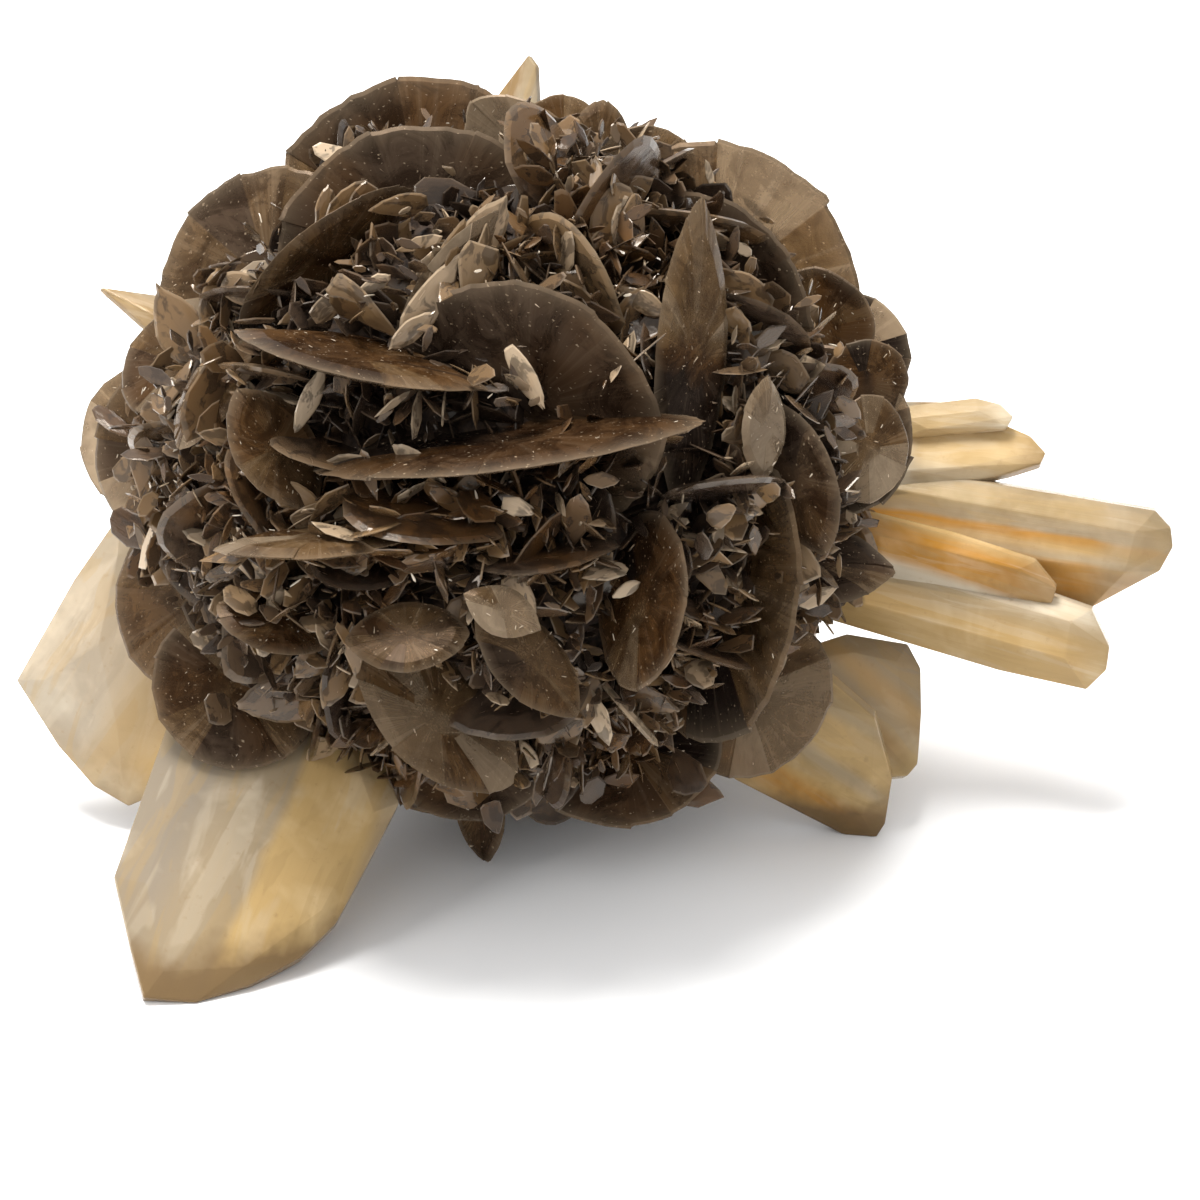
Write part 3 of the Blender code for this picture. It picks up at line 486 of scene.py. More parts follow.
class SmokyRoseSettings(bpy.types.PropertyGroup):
    """Sizes and colours of the rose."""

    seed: IntProperty(name="Seed", description="Chooses the scatter of the small leaves", default=11)
    book_leaves: IntProperty(
        name="Book leaves", description="Leaves that stand beside each large blade", default=24)
    leaf_count: IntProperty(name="Leaves", description="Middle-sized leaves over the ball", default=1300)
    small_count: IntProperty(name="Small leaves", description="Small leaves in the pockets", default=12000)
    speck_count: IntProperty(name="Specks", description="Bright chips caught between the leaves", default=700)
    crumbs: IntProperty(name="Crumbs", description="Crumbs that lie on each large blade", default=14)
    dark: FloatVectorProperty(
        name="Dark", description="Darkest brown", subtype="COLOR", default=(0.016, 0.0105, 0.008))
    smoke: FloatVectorProperty(
        name="Smoke", description="Grey brown", subtype="COLOR", default=(0.06, 0.039, 0.0255))
    amber: FloatVectorProperty(
        name="Amber", description="Warm brown", subtype="COLOR", default=(0.15, 0.09, 0.041))
    rust: FloatVectorProperty(
        name="Rust", description="Deep amber", subtype="COLOR", default=(0.078, 0.037, 0.013))
    tan: FloatVectorProperty(
        name="Tan", description="Pale rims", subtype="COLOR", default=(0.36, 0.275, 0.185))


class HoneySettings(bpy.types.PropertyGroup):
    """Sizes and looks of the honey crystals."""

    edge: FloatProperty(
        name="Edge wear", description="Width of the worn edges", default=0.00022, unit="LENGTH")
    grain: FloatProperty(
        name="Grain", description="Longest side of a surface face", default=0.0016, unit="LENGTH")
    relief: FloatProperty(
        name="Relief", description="Height of the growth steps", default=0.00002, unit="LENGTH")


class StageSettings(bpy.types.PropertyGroup):
    """The table, the lights and the camera."""

    table: FloatVectorProperty(
        name="Table", description="Colour of the table", subtype="COLOR", default=(0.9, 0.9, 0.9))
    sky: FloatProperty(name="Sky", description="Brightness of the surroundings", default=1.25)
    key: FloatProperty(name="Key", description="Power of the main light", default=14.5, unit="POWER")


def in_frame(across, up, toward):
    """A point from its distances to the rose's centre along the sight axes, in metres."""
    return (ROSE_CENTRE + across * ACROSS + up * UPWARD + toward * TOWARD) * MM


def seen(across, up, toward):
    """The point that stands this far toward the viewer and is seen at this place across and up."""
    nearer = 1.0 - toward / EYE_DISTANCE
    return in_frame(EYE_ACROSS + (across - EYE_ACROSS) * nearer, EYE_UP + (up - EYE_UP) * nearer, toward)


def sight_axes(turn, dip, roll):
    """Long, side and face directions of a blade, from its angles in degrees as seen from the front."""
    turn, dip, roll = (math.radians(angle) for angle in (turn, dip, roll))
    flat_long = math.cos(turn) * ACROSS + math.sin(turn) * UPWARD
    flat_side = -math.sin(turn) * ACROSS + math.cos(turn) * UPWARD
    long_way = math.cos(dip) * flat_long + math.sin(dip) * TOWARD
    flat_face = long_way.cross(flat_side)
    side_way = math.cos(roll) * flat_side + math.sin(roll) * flat_face
    return long_way, side_way, long_way.cross(side_way)


def sphere_spots(count):
    """Directions spread evenly over a ball, on a golden spiral."""
    golden = math.pi * (3.0 - math.sqrt(5.0))
    for step in range(count):
        height = 1.0 - 2.0 * (step + 0.5) / count
        ring = math.sqrt(1.0 - height * height)
        yield Vector((ring * math.cos(golden * step), ring * math.sin(golden * step), height))


def middle_of(blade):
    return seen(blade.across, blade.up, blade.toward)


def axes_of(blade):
    return sight_axes(blade.turn, blade.dip, blade.facing)


def over_blade(points, blade):
    """How high points stand over a blade's middle plane, in millimetres, and which lie within its outline."""
    local = (points - np.array(middle_of(blade))) / MM @ np.array(axes_of(blade)).T
    share = (local[..., 0] / blade.length) ** 2 + (local[..., 1] / blade.width) ** 2
    return local[..., 2], share < OUTLINE_SHARE


def shown(name, data):
    """A new object of this data, in the scene."""
    made = bpy.data.objects.new(name, data)
    bpy.context.scene.collection.objects.link(made)
    return made


def mesh_of(name, form, finish):
    """A mesh of what was built, in this finish."""
    mesh = bpy.data.meshes.new(name)
    form.to_mesh(mesh)
    form.free()
    mesh.materials.append(finish)
    return mesh


class Pile:
    """Crystals collected as plain arrays, to become one mesh."""

    def __init__(self):
        self.points, self.flat, self.spoke, self.tone, self.rim = [], [], [], [], []
        self.corners, self.sizes = [], []
        self.used = 0

    def add(self, points, flat, spoke, tone, rim, faces):
        """Adds crystals of one build: points (crystals, corners, 3), and faces that each of them has."""
        count, corners = points.shape[:2]
        self.points.append(points.reshape(-1, 3))
        self.flat.append(flat.reshape(-1, 2))
        self.spoke.append(spoke.reshape(-1, 2))
        self.tone.append(tone.reshape(-1) if tone.size == count * corners else np.repeat(tone, corners))
        self.rim.append(np.tile(rim, count))
        pattern = np.concatenate([np.asarray(face) for face in faces])
        starts = self.used + corners * np.arange(count)
        self.corners.append((starts[:, None] + pattern[None, :]).reshape(-1))
        self.sizes.append(np.tile([len(face) for face in faces], count))
        self.used += count * corners

    def build(self, name, material, sharp=None):
        """One object of everything in the pile. sharp is the angle above which an edge stays hard."""
        points = np.concatenate(self.points)
        corners = np.concatenate(self.corners).astype(np.int32)
        sizes = np.concatenate(self.sizes).astype(np.int32)
        mesh = bpy.data.meshes.new(name)
        mesh.vertices.add(len(points))
        mesh.vertices.foreach_set("co", points.astype(np.float32).reshape(-1))
        mesh.loops.add(len(corners))
        mesh.loops.foreach_set("vertex_index", corners)
        mesh.polygons.add(len(sizes))
        mesh.polygons.foreach_set("loop_start", np.concatenate([[0], np.cumsum(sizes)[:-1]]).astype(np.int32))
        for label, values in (("Face", self.flat), ("Spoke", self.spoke)):
            flat = mesh.uv_layers.new(name=label)
            flat.data.foreach_set("uv", np.concatenate(values)[corners].astype(np.float32).reshape(-1))
        for label, values in (("tone", self.tone), ("rim", self.rim)):
            layer = mesh.attributes.new(label, "FLOAT", "POINT")
            layer.data.foreach_set("value", np.concatenate(values).astype(np.float32))
        mesh.update(calc_edges=True)
        mesh.validate()
        if sharp is None:
            mesh.shade_flat()
        else:
            mesh.shade_smooth()
            mesh.set_sharp_from_angle(angle=math.radians(sharp))
        mesh.materials.append(material)
        return shown(name, mesh)


def ring_faces(points, rings):
    """Faces of a closed crystal of stacked rings, from its upper flat face to its lower one."""
    faces = [list(range(points))]
    for ring in range(rings - 1):
        for step in range(points):
            after = (step + 1) % points
            here, below = ring * points, (ring + 1) * points
            faces.append([here + after, here + step, below + step, below + after])
    faces.append([(rings - 1) * points + step for step in reversed(range(points))])
    return faces


def crystals(rng, centres, axes, sizes, tapers, form):
    """Corner points and flat coordinates of lens-shaped crystals of one form."""
    count = len(centres)
    angle = np.linspace(0.0, math.tau, form.corners, endpoint=False)
    wide = np.sin(angle)[None, :] * np.abs(np.sin(angle))[None, :] ** tapers[:, None]
    wide = wide * (1.0 + rng.uniform(-LOPSIDED, LOPSIDED, (count, 1)) * np.cos(angle)[None, :])
    reach = 1.0 + form.ragged * rng.standard_normal((count, form.corners))
    is_broken = rng.uniform(0.0, 1.0, (count, 2)) < form.broken
    tips = np.where(is_broken, rng.uniform(*BROKEN_TIP, (count, 2)), WHOLE_TIP)
    along = np.clip(np.cos(angle)[None, :] * reach, -tips[:, :1], tips[:, 1:])
    side = wide * reach
    share, height = np.array(form.profile).T
    shift = form.skew * rng.standard_normal((count, 2))
    flatness = (1.0 - share)[None, :, None]
    half = sizes[:, None, None, :] / 2
    x = (along[:, None, :] * share[None, :, None] + shift[:, 0, None, None] * flatness) * half[..., 0]
    y = (side[:, None, :] * share[None, :, None] + shift[:, 1, None, None] * flatness) * half[..., 1]
    z = np.broadcast_to(height[None, :, None], x.shape) * half[..., 2]
    local = np.stack([x, y, z], axis=-1).reshape(count, -1, 3)
    points = centres[:, None, :] + np.einsum("nvk,nkd->nvd", local, axes)
    offset = rng.uniform(-PATTERN_SHIFT, PATTERN_SHIFT, (count, 1, 2)).round()
    spoke = np.tile(np.stack([np.cos(angle), np.sin(angle)], axis=-1), (len(form.profile), 1))[None] + offset
    return points, local[..., :2] / MM + offset, spoke


def rim_of(profile, corners):
    """How near each corner of a crystal is to its rim, from 0 to 1."""
    share = np.array([ring[0] for ring in profile])
    return np.repeat(np.clip((share - RIM_STARTS) / (1.0 - RIM_STARTS), 0.0, 1.0), corners)


def above_table(points):
    """Raises crystals that would reach through the table."""
    low = points[..., 2].min(axis=1)
    points[..., 2] += np.maximum(0.0, FLOOR_CLEARANCE * MM - low)[:, None]
    return points


def segments_of(rng, points, straight):
    """The segments that a large disc grew in, with two corners at every joint.

    Gives the angles of the rim's corners, which segment each belongs to, and how far out the rim runs, where
    each segment's edge is nearly straight.
    """
    number = int(rng.integers(*SEGMENTS))
    drift = rng.uniform(-JOINT_DRIFT, JOINT_DRIFT, number)
    joints = (np.arange(number) + 0.5 + drift) * math.tau / number
    even = np.linspace(0.0, math.tau, points - 2 * number, endpoint=False)
    angle = np.sort(np.concatenate([even, joints - JOINT_HALF, joints + JOINT_HALF]))
    segment = np.searchsorted(joints, angle) % number
    before = np.concatenate([[joints[-1] - math.tau], joints[:-1]])
    half = ((joints - before) / 2)[segment]
    off = (angle - joints[segment] + half + math.pi) % math.tau - math.pi
    chord = np.cos(half) / np.cos(off)
    return angle, segment, 1.0 + straight * (chord - 1.0) + STRAIGHT_GAIN * straight


def large_blade(rng, blade, pile):
    """One large blade: flat segments that meet in small steps, and a bevel that thins to an uneven rim."""
    points = RIM_POINTS[blade.length > BIG_BLADE]
    disc = 1.0 - blade.taper
    angle, segment, outline = segments_of(rng, points, STRAIGHT * disc)
    number = segment.max() + 1
    is_disc = blade.taper < SHELF_TAPER
    profile = DISC_PROFILE if is_disc else SHELF_PROFILE
    thickness = blade.thickness * (DISC_THINNING if is_disc else SHELF_THINNING)
    levels = rng.uniform(*SEGMENT_LEVELS, number) * disc
    tilts = rng.uniform(-SEGMENT_TILT, SEGMENT_TILT, number)
    shades = SEGMENT_SHADE * rng.standard_normal(number)
    shades += (rng.uniform(0, 1, number) < PALE_SEGMENTS) * rng.uniform(*PALE_SHADES, number)
    shades *= LEAF_SHADE + (1.0 - LEAF_SHADE) * disc
    reach = outline + levels[segment] + RIM_RAGGED * rng.standard_normal(points)
    wide = np.sin(angle) * np.abs(np.sin(angle)) ** blade.taper
    rings = [np.stack([
        np.cos(angle) * reach * share * blade.length / 2, wide * reach * share * blade.width / 2,
        (height + tilts[segment] * share ** 2) * thickness / 2], axis=-1) for share, height in profile]
    local = np.concatenate(rings) * MM
    placed = np.array(middle_of(blade))[None, :] + local @ np.array(axes_of(blade))
    if blade.name not in REST_BLADES:
        placed[:, 2] += max(0.0, FLOOR_CLEARANCE * MM - placed[:, 2].min())
    placed[:, 2] = np.maximum(placed[:, 2], 0.0)
    offset = rng.uniform(-PATTERN_SHIFT, PATTERN_SHIFT, (1, 2)).round()
    spoke = np.tile(np.stack([np.cos(angle), np.sin(angle)], axis=-1), (len(profile), 1)) + offset
    fade = blade.fade * np.clip(local[:, 0] / (blade.length * MM) * FADE_STEEPNESS, -1.0, 1.0)
    tone = np.clip(blade.tone + fade + np.tile(shades[segment], len(profile)), 0.0, 1.0)
    pile.add(placed[None], local[:, :2] / MM + offset, spoke, tone, rim_of(profile, points),
             ring_faces(points, len(profile)))


def bare_reach(blade):
    """How far in front of a blade's bare face no leaves stand."""
    return BARE_FRONT if blade.bare >= RIM_BARE else BARE_DEPTH


def on_bare_face(spot):
    """Whether a place in the ball lies close to the bare face of a large blade."""
    for blade in ROSE_BLADES:
        offset = (ROSE_CENTRE + spot) - middle_of(blade) / MM
        along, side, lift = (offset.dot(way) for way in axes_of(blade))
        share = math.hypot(2 * along / blade.length, 2 * side / blade.width)
        if blade.bare >= BARE_FACE and share < BARE_SHARE and -BARE_DEPTH < lift < bare_reach(blade):
            return True
    return False


def fill_blades():
    """Places of the blades that fill the ball: centre, axes, length, width, thickness and taper of each."""
    rng = random.Random(FILL_SEED)

    def wander(spread):
        return Vector([rng.gauss(0.0, spread) for _ in range(3)])

    groups = [(spot, wander(1.0)) for spot in sphere_spots(GROUP_COUNT)]
    laid = [blade.across * ACROSS + blade.up * UPWARD + blade.toward * TOWARD for blade in ROSE_BLADES]
    for way in sphere_spots(FILL_COUNT):
        length, width, thickness, taper = (
            rng.uniform(*span) for span in (FILL_LENGTH, FILL_WIDTH, FILL_THICKNESS, FILL_TAPER))
        lean, stray = wander(FILL_LEAN), wander(FILL_STRAY)
        spot = way * (ROSE_REACH - width / 2 - rng.uniform(0.0, FILL_SINK))
        if any((middle - spot).length < FILL_CLEARANCE for middle in laid) or on_bare_face(spot):
            continue
        nearest = min(groups, key=lambda group: (group[0] - way).length)
        outward = (way + lean).normalized()
        face = (nearest[1] + stray).cross(outward).normalized()
        centre = (ROSE_CENTRE + spot) * MM
        yield centre, (outward.cross(face), outward, face), (length * MM, width * MM, thickness * MM), taper


def heart_level(points):
    """How far out points lie, where 1 is the surface of the rose's heart."""
    offset = (points - np.array(ROSE_CENTRE * MM)) / np.array(HEART_HALF * MM)
    return np.linalg.norm(offset, axis=-1)


def unit(ways):
    return ways / np.linalg.norm(ways, axis=1, keepdims=True)


def turned_axes(rng, axes, tilt, spin):
    """Axes like those given, with the face tilted a little and the length turned in the plane."""
    count = len(axes)
    face = unit(axes[:, 2] + tilt * rng.standard_normal((count, 3)))
    angle = spin * rng.standard_normal(count)
    long_way = np.cos(angle)[:, None] * axes[:, 0] + np.sin(angle)[:, None] * axes[:, 1]
    long_way = unit(long_way - (long_way * face).sum(1, keepdims=True) * face)
    return np.stack([long_way, np.cross(face, long_way), face], axis=1)


def clear_of_faces(points):
    """Which points don't lie close to a bare face of a large blade that stands out of the ball."""
    clear = np.ones(len(points), bool)
    outside = heart_level(points) > 1.0
    for blade in ROSE_BLADES:
        if blade.bare >= BARE_FACE:
            lift, inside = over_blade(points, blade)
            clear &= ~(outside & inside & (lift > -BARE_BACK) & (lift < bare_reach(blade)))
    return clear


def depth_of(across, up, level):
    """How far toward the viewer the ball stands at this place in the view."""
    for step in range(DEPTH_STEPS):
        depth = NEAREST - DEPTH_STEP * step
        if heart_level(np.array(seen(across, up, depth))) < level:
            return depth
    return 0.0


def over_face(rng, count, centre, ways, size):
    """Places spread over a blade's face, on its middle plane."""
    angle = rng.uniform(0.0, math.tau, count)
    reach = np.sqrt(rng.uniform(0.0, FACE_SHARE, count))
    return (np.array(centre)[None] + (reach * np.cos(angle) * size[0] / 2)[:, None] * ways[0]
            + (reach * np.sin(angle) * size[1] / 2)[:, None] * ways[1])


def book_places(rng, parents, each):
    """Leaves that stand beside the large blades, nearly parallel to them and low on their sides."""
    low, high, high_by_bare = BOOK_LEVELS
    tone_share, tone_gain, tone_spread = BOOK_TONE
    books = []
    for centre, frame_axes, size, tone, bare in parents:
        ways = np.array(frame_axes)
        place = over_face(rng, each, centre, ways, size)
        side = rng.choice((-1.0, 1.0), each)
        place += (side * rng.uniform(*BOOK_LIFT, each) * MM)[:, None] * ways[2]
        level = heart_level(place)
        kept = (level > low) & (level < (high if bare < BARE_FACE else high_by_bare))
        count = int(kept.sum())
        length = np.clip(rng.uniform(*BOOK_SHARE, count) * size[0], *BOOK_LENGTH)
        width = length * rng.uniform(*BOOK_SLIM, count)
        sizes = np.stack([length, width, rng.uniform(*BOOK_THIN, count) * MM], axis=-1)
        tones = np.clip(tone * tone_share + tone_gain + tone_spread * rng.standard_normal(count), 0.0, 1.0)
        books.append((place[kept], np.repeat(ways[None], count, axis=0), sizes, tones))
    return [np.concatenate(column) for column in zip(*books)]


def scattered(rng, count, level, size, slim, thin, tilt):
    """Leaves spread over the heart in clusters. Each stands on its long side and leans over by tilt."""
    ways = np.array([tuple(way) for way in sphere_spots(count)])
    ways = unit(ways + rng.standard_normal(ways.shape) * (SPOT_DRIFT / math.sqrt(count)))
    seeds = unit(rng.standard_normal((max(FEWEST_CLUSTERS, count // CLUSTER_SIZE), 3)))
    leanings = rng.standard_normal(seeds.shape)
    nearest = np.argmax(ways @ seeds.T, axis=1)
    lean = leanings[nearest] + CLUSTER_SPREAD * rng.standard_normal(ways.shape)
    outward = unit(ways + tilt * (CLUSTER_LEAN * leanings[nearest] + rng.standard_normal(ways.shape)))
    face = unit(np.cross(lean, outward))
    axes = np.stack([np.cross(outward, face), outward, face], axis=1)
    height = rng.uniform(*level, count)
    centres = np.array(ROSE_CENTRE * MM) + ways * height[:, None] * np.array(HEART_HALF * MM)
    length = (size[0] + (size[1] - size[0]) * rng.uniform(0, 1, count) ** SHORT_BIAS) * MM
    sizes = np.stack([length, length * rng.uniform(*slim, count), rng.uniform(*thin, count) * MM], axis=-1)
    axes = turned_axes(rng, axes, *LEAF_TURN)
    clear = clear_of_faces(centres)
    return centres[clear], axes[clear], sizes[clear]


def leaf_tones(rng, count, middle):
    """Tones of leaves: mostly dark, and some much paler, partly a paler colour and partly painted glints."""
    tones = middle + TONE_SPREAD * rng.standard_normal(count)
    return tones + (rng.uniform(0, 1, count) < PALE_AND_GLINT_LEAVES) * rng.uniform(*PALE_AND_GLINT_GAIN, count)


def painted_depth_shade(tones, points):
    """Leaves' corner tones with painted shade: darker toward roots deep in the rose, lighter further out."""
    middle, top = DEPTH_PAINTED_SHADE_LEVELS
    # Painted shade: tone falls with depth below the middle level and rises further out, up to the top level
    return np.clip(tones[:, None] + DEPTH_PAINTED_SHADE * (np.minimum(heart_level(points), top) - middle), 0.0, 1.0)


def held(points):
    """Which crystals reach into the rose's mass or stand against one of its large blades."""
    kept = heart_level(points).min(axis=1) < HELD_LEVEL
    for blade in ROSE_BLADES:
        lift, inside = over_blade(points, blade)
        kept |= (inside & (np.abs(lift) < HELD_GAP)).any(axis=1)
    return kept


def plant(pile, grown, tones, form):
    """Adds those crystals that something holds, with painted shade: darker toward their roots."""
    points, flat, spoke = grown
    points = above_table(points)
    kept = held(points)
    pile.add(points[kept], flat[kept], spoke[kept], painted_depth_shade(tones, points)[kept],
             rim_of(form.profile, form.corners), ring_faces(form.corners, len(form.profile)))


def crumb_places(rng, each):
    """Crumbs that lie on the faces of the large blades."""
    centres, axes = [], []
    for blade in ROSE_BLADES:
        ways = np.array(axes_of(blade))
        if ways[2][2] < 0:
            ways[1:] *= -1
        place = over_face(rng, each, middle_of(blade), ways, (blade.length * MM, blade.width * MM))
        centres.append(place + (blade.thickness / 2 * MM) * ways[2])
        axes.append(np.repeat(ways[None], each, axis=0))
    return np.concatenate(centres), turned_axes(rng, np.concatenate(axes), *CRUMB_TURN)


class Finish:
    """A material and the few node steps that its patterns are built from."""

    def __init__(self, name):
        self.material = bpy.data.materials.new(name)
        self.material.use_nodes = True
        self.tree = self.material.node_tree
        self.shader = self.tree.nodes["Principled BSDF"]
        self.coordinates = self.tree.nodes.new("ShaderNodeTexCoord")

    def feed(self, socket, value):
        """Links a socket to another one, or sets its value."""
        if isinstance(value, bpy.types.NodeSocket):
            self.tree.links.new(value, socket)
        else:
            socket.default_value = value

    def node(self, kind, values=None, **settings):
        made = self.tree.nodes.new(kind)
        for name, value in settings.items():
            setattr(made, name, value)
        for slot, value in (values or {}).items():
            self.feed(made.inputs[slot], value)
        return made

    def set(self, **values):
        """Sets or links sockets of the shader: an underscore in a name stands for a space."""
        for name, value in values.items():
            self.feed(self.shader.inputs[name.replace("_", " ")], value)

    def attribute(self, name):
        return self.node("ShaderNodeAttribute", attribute_name=name).outputs["Fac"]

    def face_map(self, stretch=(1.0, 1.0, 1.0)):
        flat = self.node("ShaderNodeUVMap", uv_map="Face").outputs["UV"]
        return self.node("ShaderNodeMapping", {"Vector": flat, "Scale": stretch}).outputs["Vector"]

    def noise(self, vector, scale, detail=3.0, roughness=0.55, distortion=0.0):
        values = {"Vector": vector, "Scale": scale, "Detail": detail, "Roughness": roughness,
                  "Distortion": distortion}
        return self.node("ShaderNodeTexNoise", values).outputs["Fac"]

    def ramp(self, value, stops, smooth=False):
        made = self.node("ShaderNodeValToRGB", {"Fac": value})
        steps = made.color_ramp
        steps.interpolation = "EASE" if smooth else "LINEAR"
        steps.elements[0].position, steps.elements[1].position = stops[0][0], stops[-1][0]
        steps.elements[0].color, steps.elements[1].color = stops[0][1], stops[-1][1]
        for place, colour in stops[1:-1]:
            steps.elements.new(place).color = colour
        return made.outputs["Color"]

    def level(self, value, low, high, to_low=0.0, to_high=1.0):
        values = {"Value": value, "From Min": low, "From Max": high, "To Min": to_low, "To Max": to_high}
        return self.node("ShaderNodeMapRange", values).outputs["Result"]

    def maths(self, operation, first, second=0.0):
        return self.node("ShaderNodeMath", {0: first, 1: second}, operation=operation).outputs["Value"]

    def blend(self, factor, first, second, kind="MIX"):
        made = self.node("ShaderNodeMix", data_type="RGBA", blend_type=kind)
        for name, value in (("Factor", factor), ("A", first), ("B", second)):
            socket = next(s for s in made.inputs if s.name == name and s.enabled)
            is_colour = name != "Factor" and not isinstance(value, bpy.types.NodeSocket)
            self.feed(socket, rgba(value) if is_colour else value)
        return next(s for s in made.outputs if s.enabled)

    def bump(self, height, strength, distance):
        values = {"Height": height, "Strength": strength, "Distance": distance}
        self.set(Normal=self.node("ShaderNodeBump", values).outputs["Normal"])

    def absorb(self, colour, density):
        """Light that goes through is taken up by plain absorption."""
        made = self.node("ShaderNodeVolumeAbsorption", {"Color": rgba(colour), "Density": density})
        output = self.tree.nodes["Material Output"]
        self.tree.links.new(made.outputs["Volume"], output.inputs["Volume"])


def rgba(colour):
    return (*colour[:3], 1.0)


def scaled(colour, share):
    return [part * share for part in colour]


def smoky_colour(finish, look, warmth_scale, gain, warm=0.0):
    """Brown of a blade by its tone, from dark through smoke and amber to tan, with grey and amber patches.

    warm is how far the amber patches spread over the grey ones.
    """
    tone = finish.attribute("tone")

    def shades(middle):
        steps = ((0.0, look.dark), (0.35, middle), (0.7, look.amber), (1.0, look.tan))
        return finish.ramp(tone, [(place, rgba(scaled(shade, gain))) for place, shade in steps])

    patches = finish.noise(finish.coordinates.outputs["Object"], warmth_scale, 2.0)
    warmth = finish.level(patches, 0.45 - warm, 0.62 - warm)
    return finish.blend(warmth, shades(look.smoke), shades(look.rust)), tone


def disc_finish(look, name, warm):
    """Large blades: see-through brown with spokes of growth that run out to a paler, thin rim."""
    finish = Finish(name)
    base, tone = smoky_colour(finish, look, 40.0, 1.0, warm)
    spokes = finish.noise(finish.node("ShaderNodeUVMap", uv_map="Spoke").outputs["UV"], 9.0, 5.0, 0.7)
    clouds = finish.noise(finish.face_map((0.16, 0.16, 1.0)), 1.0, 6.0, 0.7, 1.0)
    grain = finish.noise(finish.face_map((0.9, 0.9, 1.0)), 1.0, 3.0)
    paler = finish.level(tone, 0.3, 0.9, 0.06, 0.5)
    streaks = finish.maths("MULTIPLY", finish.level(spokes, 0.5, 0.68), paler)
    base = finish.blend(streaks, base, scaled(look.tan, 1.2))
    smoke = finish.maths("MULTIPLY", finish.level(clouds, 0.44, 0.58), finish.level(tone, 0.5, 0.9, 1.0, 0.4))
    base = finish.blend(smoke, base, BLADE_SMOKE, "MULTIPLY")
    rim = finish.maths("POWER", finish.attribute("rim"), 3.0)
    base = finish.blend(finish.maths("MULTIPLY", rim, 0.25), base, look.tan)
    chips = finish.noise(finish.face_map((1.6, 2.6, 1.0)), 1.0, 2.0, 0.4)
    base = finish.blend(finish.level(chips, 0.68, 0.72, 0.0, 0.65), base, look.tan)
    finish.set(Base_Color=base, IOR=IOR, Transmission_Weight=finish.level(tone, 0.15, 0.75, 0.22, 0.55))
    finish.set(Roughness=finish.level(clouds, 0.3, 0.7, 0.16, 0.3), Specular_IOR_Level=0.1)
    finish.set(Specular_Tint=BLADE_SHINE)
    height = finish.maths("ADD", finish.maths("MULTIPLY", spokes, 0.5), finish.maths("MULTIPLY", grain, 0.35))
    finish.bump(height, 0.2, 0.0002)
    finish.absorb(BLADE_LIGHT, BLADE_DENSITY)
    return finish.material


def leaf_finish(look, name):
    """Thin leaves: darker and glossy, with a painted highlight of pale tan along the rim."""
    finish = Finish(name)
    base, tone = smoky_colour(finish, look, 60.0, LEAF_GAIN)
    grain = finish.noise(finish.face_map((0.25, 1.6, 1.0)), 1.0, 4.0)
    patches = finish.noise(finish.face_map((0.3, 0.45, 1.0)), 1.0, 3.0, 0.6, 0.6)
    base = finish.blend(finish.level(grain, 0.5, 0.8, 0.0, 0.3), base, look.amber)
    base = finish.blend(finish.level(patches, 0.5, 0.56, 0.0, 0.6), base, scaled(look.dark, 1.3))
    # Painted highlight: pale tan along each leaf's rim, stronger on paler leaves
    rim = finish.maths("POWER", finish.attribute("rim"), 5.0)
    edge = finish.maths("MULTIPLY", rim, finish.level(tone, 0.1, 0.8, 0.1, 0.5))
    base = finish.blend(edge, base, look.tan)
    finish.set(Base_Color=base, IOR=IOR, Transmission_Weight=LEAF_CLEAR)
    finish.set(Roughness=finish.level(grain, 0.3, 0.75, 0.1, 0.3), Specular_IOR_Level=0.4)
    finish.set(Specular_Tint=LEAF_SHINE)
    finish.bump(grain, 0.15, 0.0002)
    return finish.material


def heart_finish(look):
    """The dark, lumpy ground between the leaves."""
    finish = Finish("rose_heart")
    lumps = finish.noise(finish.coordinates.outputs["Object"], 900.0, 5.0)
    finish.set(Base_Color=finish.blend(finish.level(lumps, 0.4, 0.7), look.dark, look.smoke))
    finish.set(Roughness=finish.level(lumps, 0.3, 0.7, 0.4, 0.8), Specular_IOR_Level=0.1)
    finish.bump(lumps, 0.6, 0.0006)
    return finish.material


def speck_finish(look):
    """Small, bright chips: partly crumbs, partly painted glints."""
    finish = Finish("crumb_and_painted_glint")
    tone = finish.attribute("tone")
    # Painted glints in part: the palest specks run to near white
    finish.set(Base_Color=finish.ramp(tone, ((0.0, rgba(look.tan)), (1.0, SPECK_GLINT_TOP))))
    finish.set(Roughness=0.15, IOR=IOR, Transmission_Weight=0.1)
    return finish.material


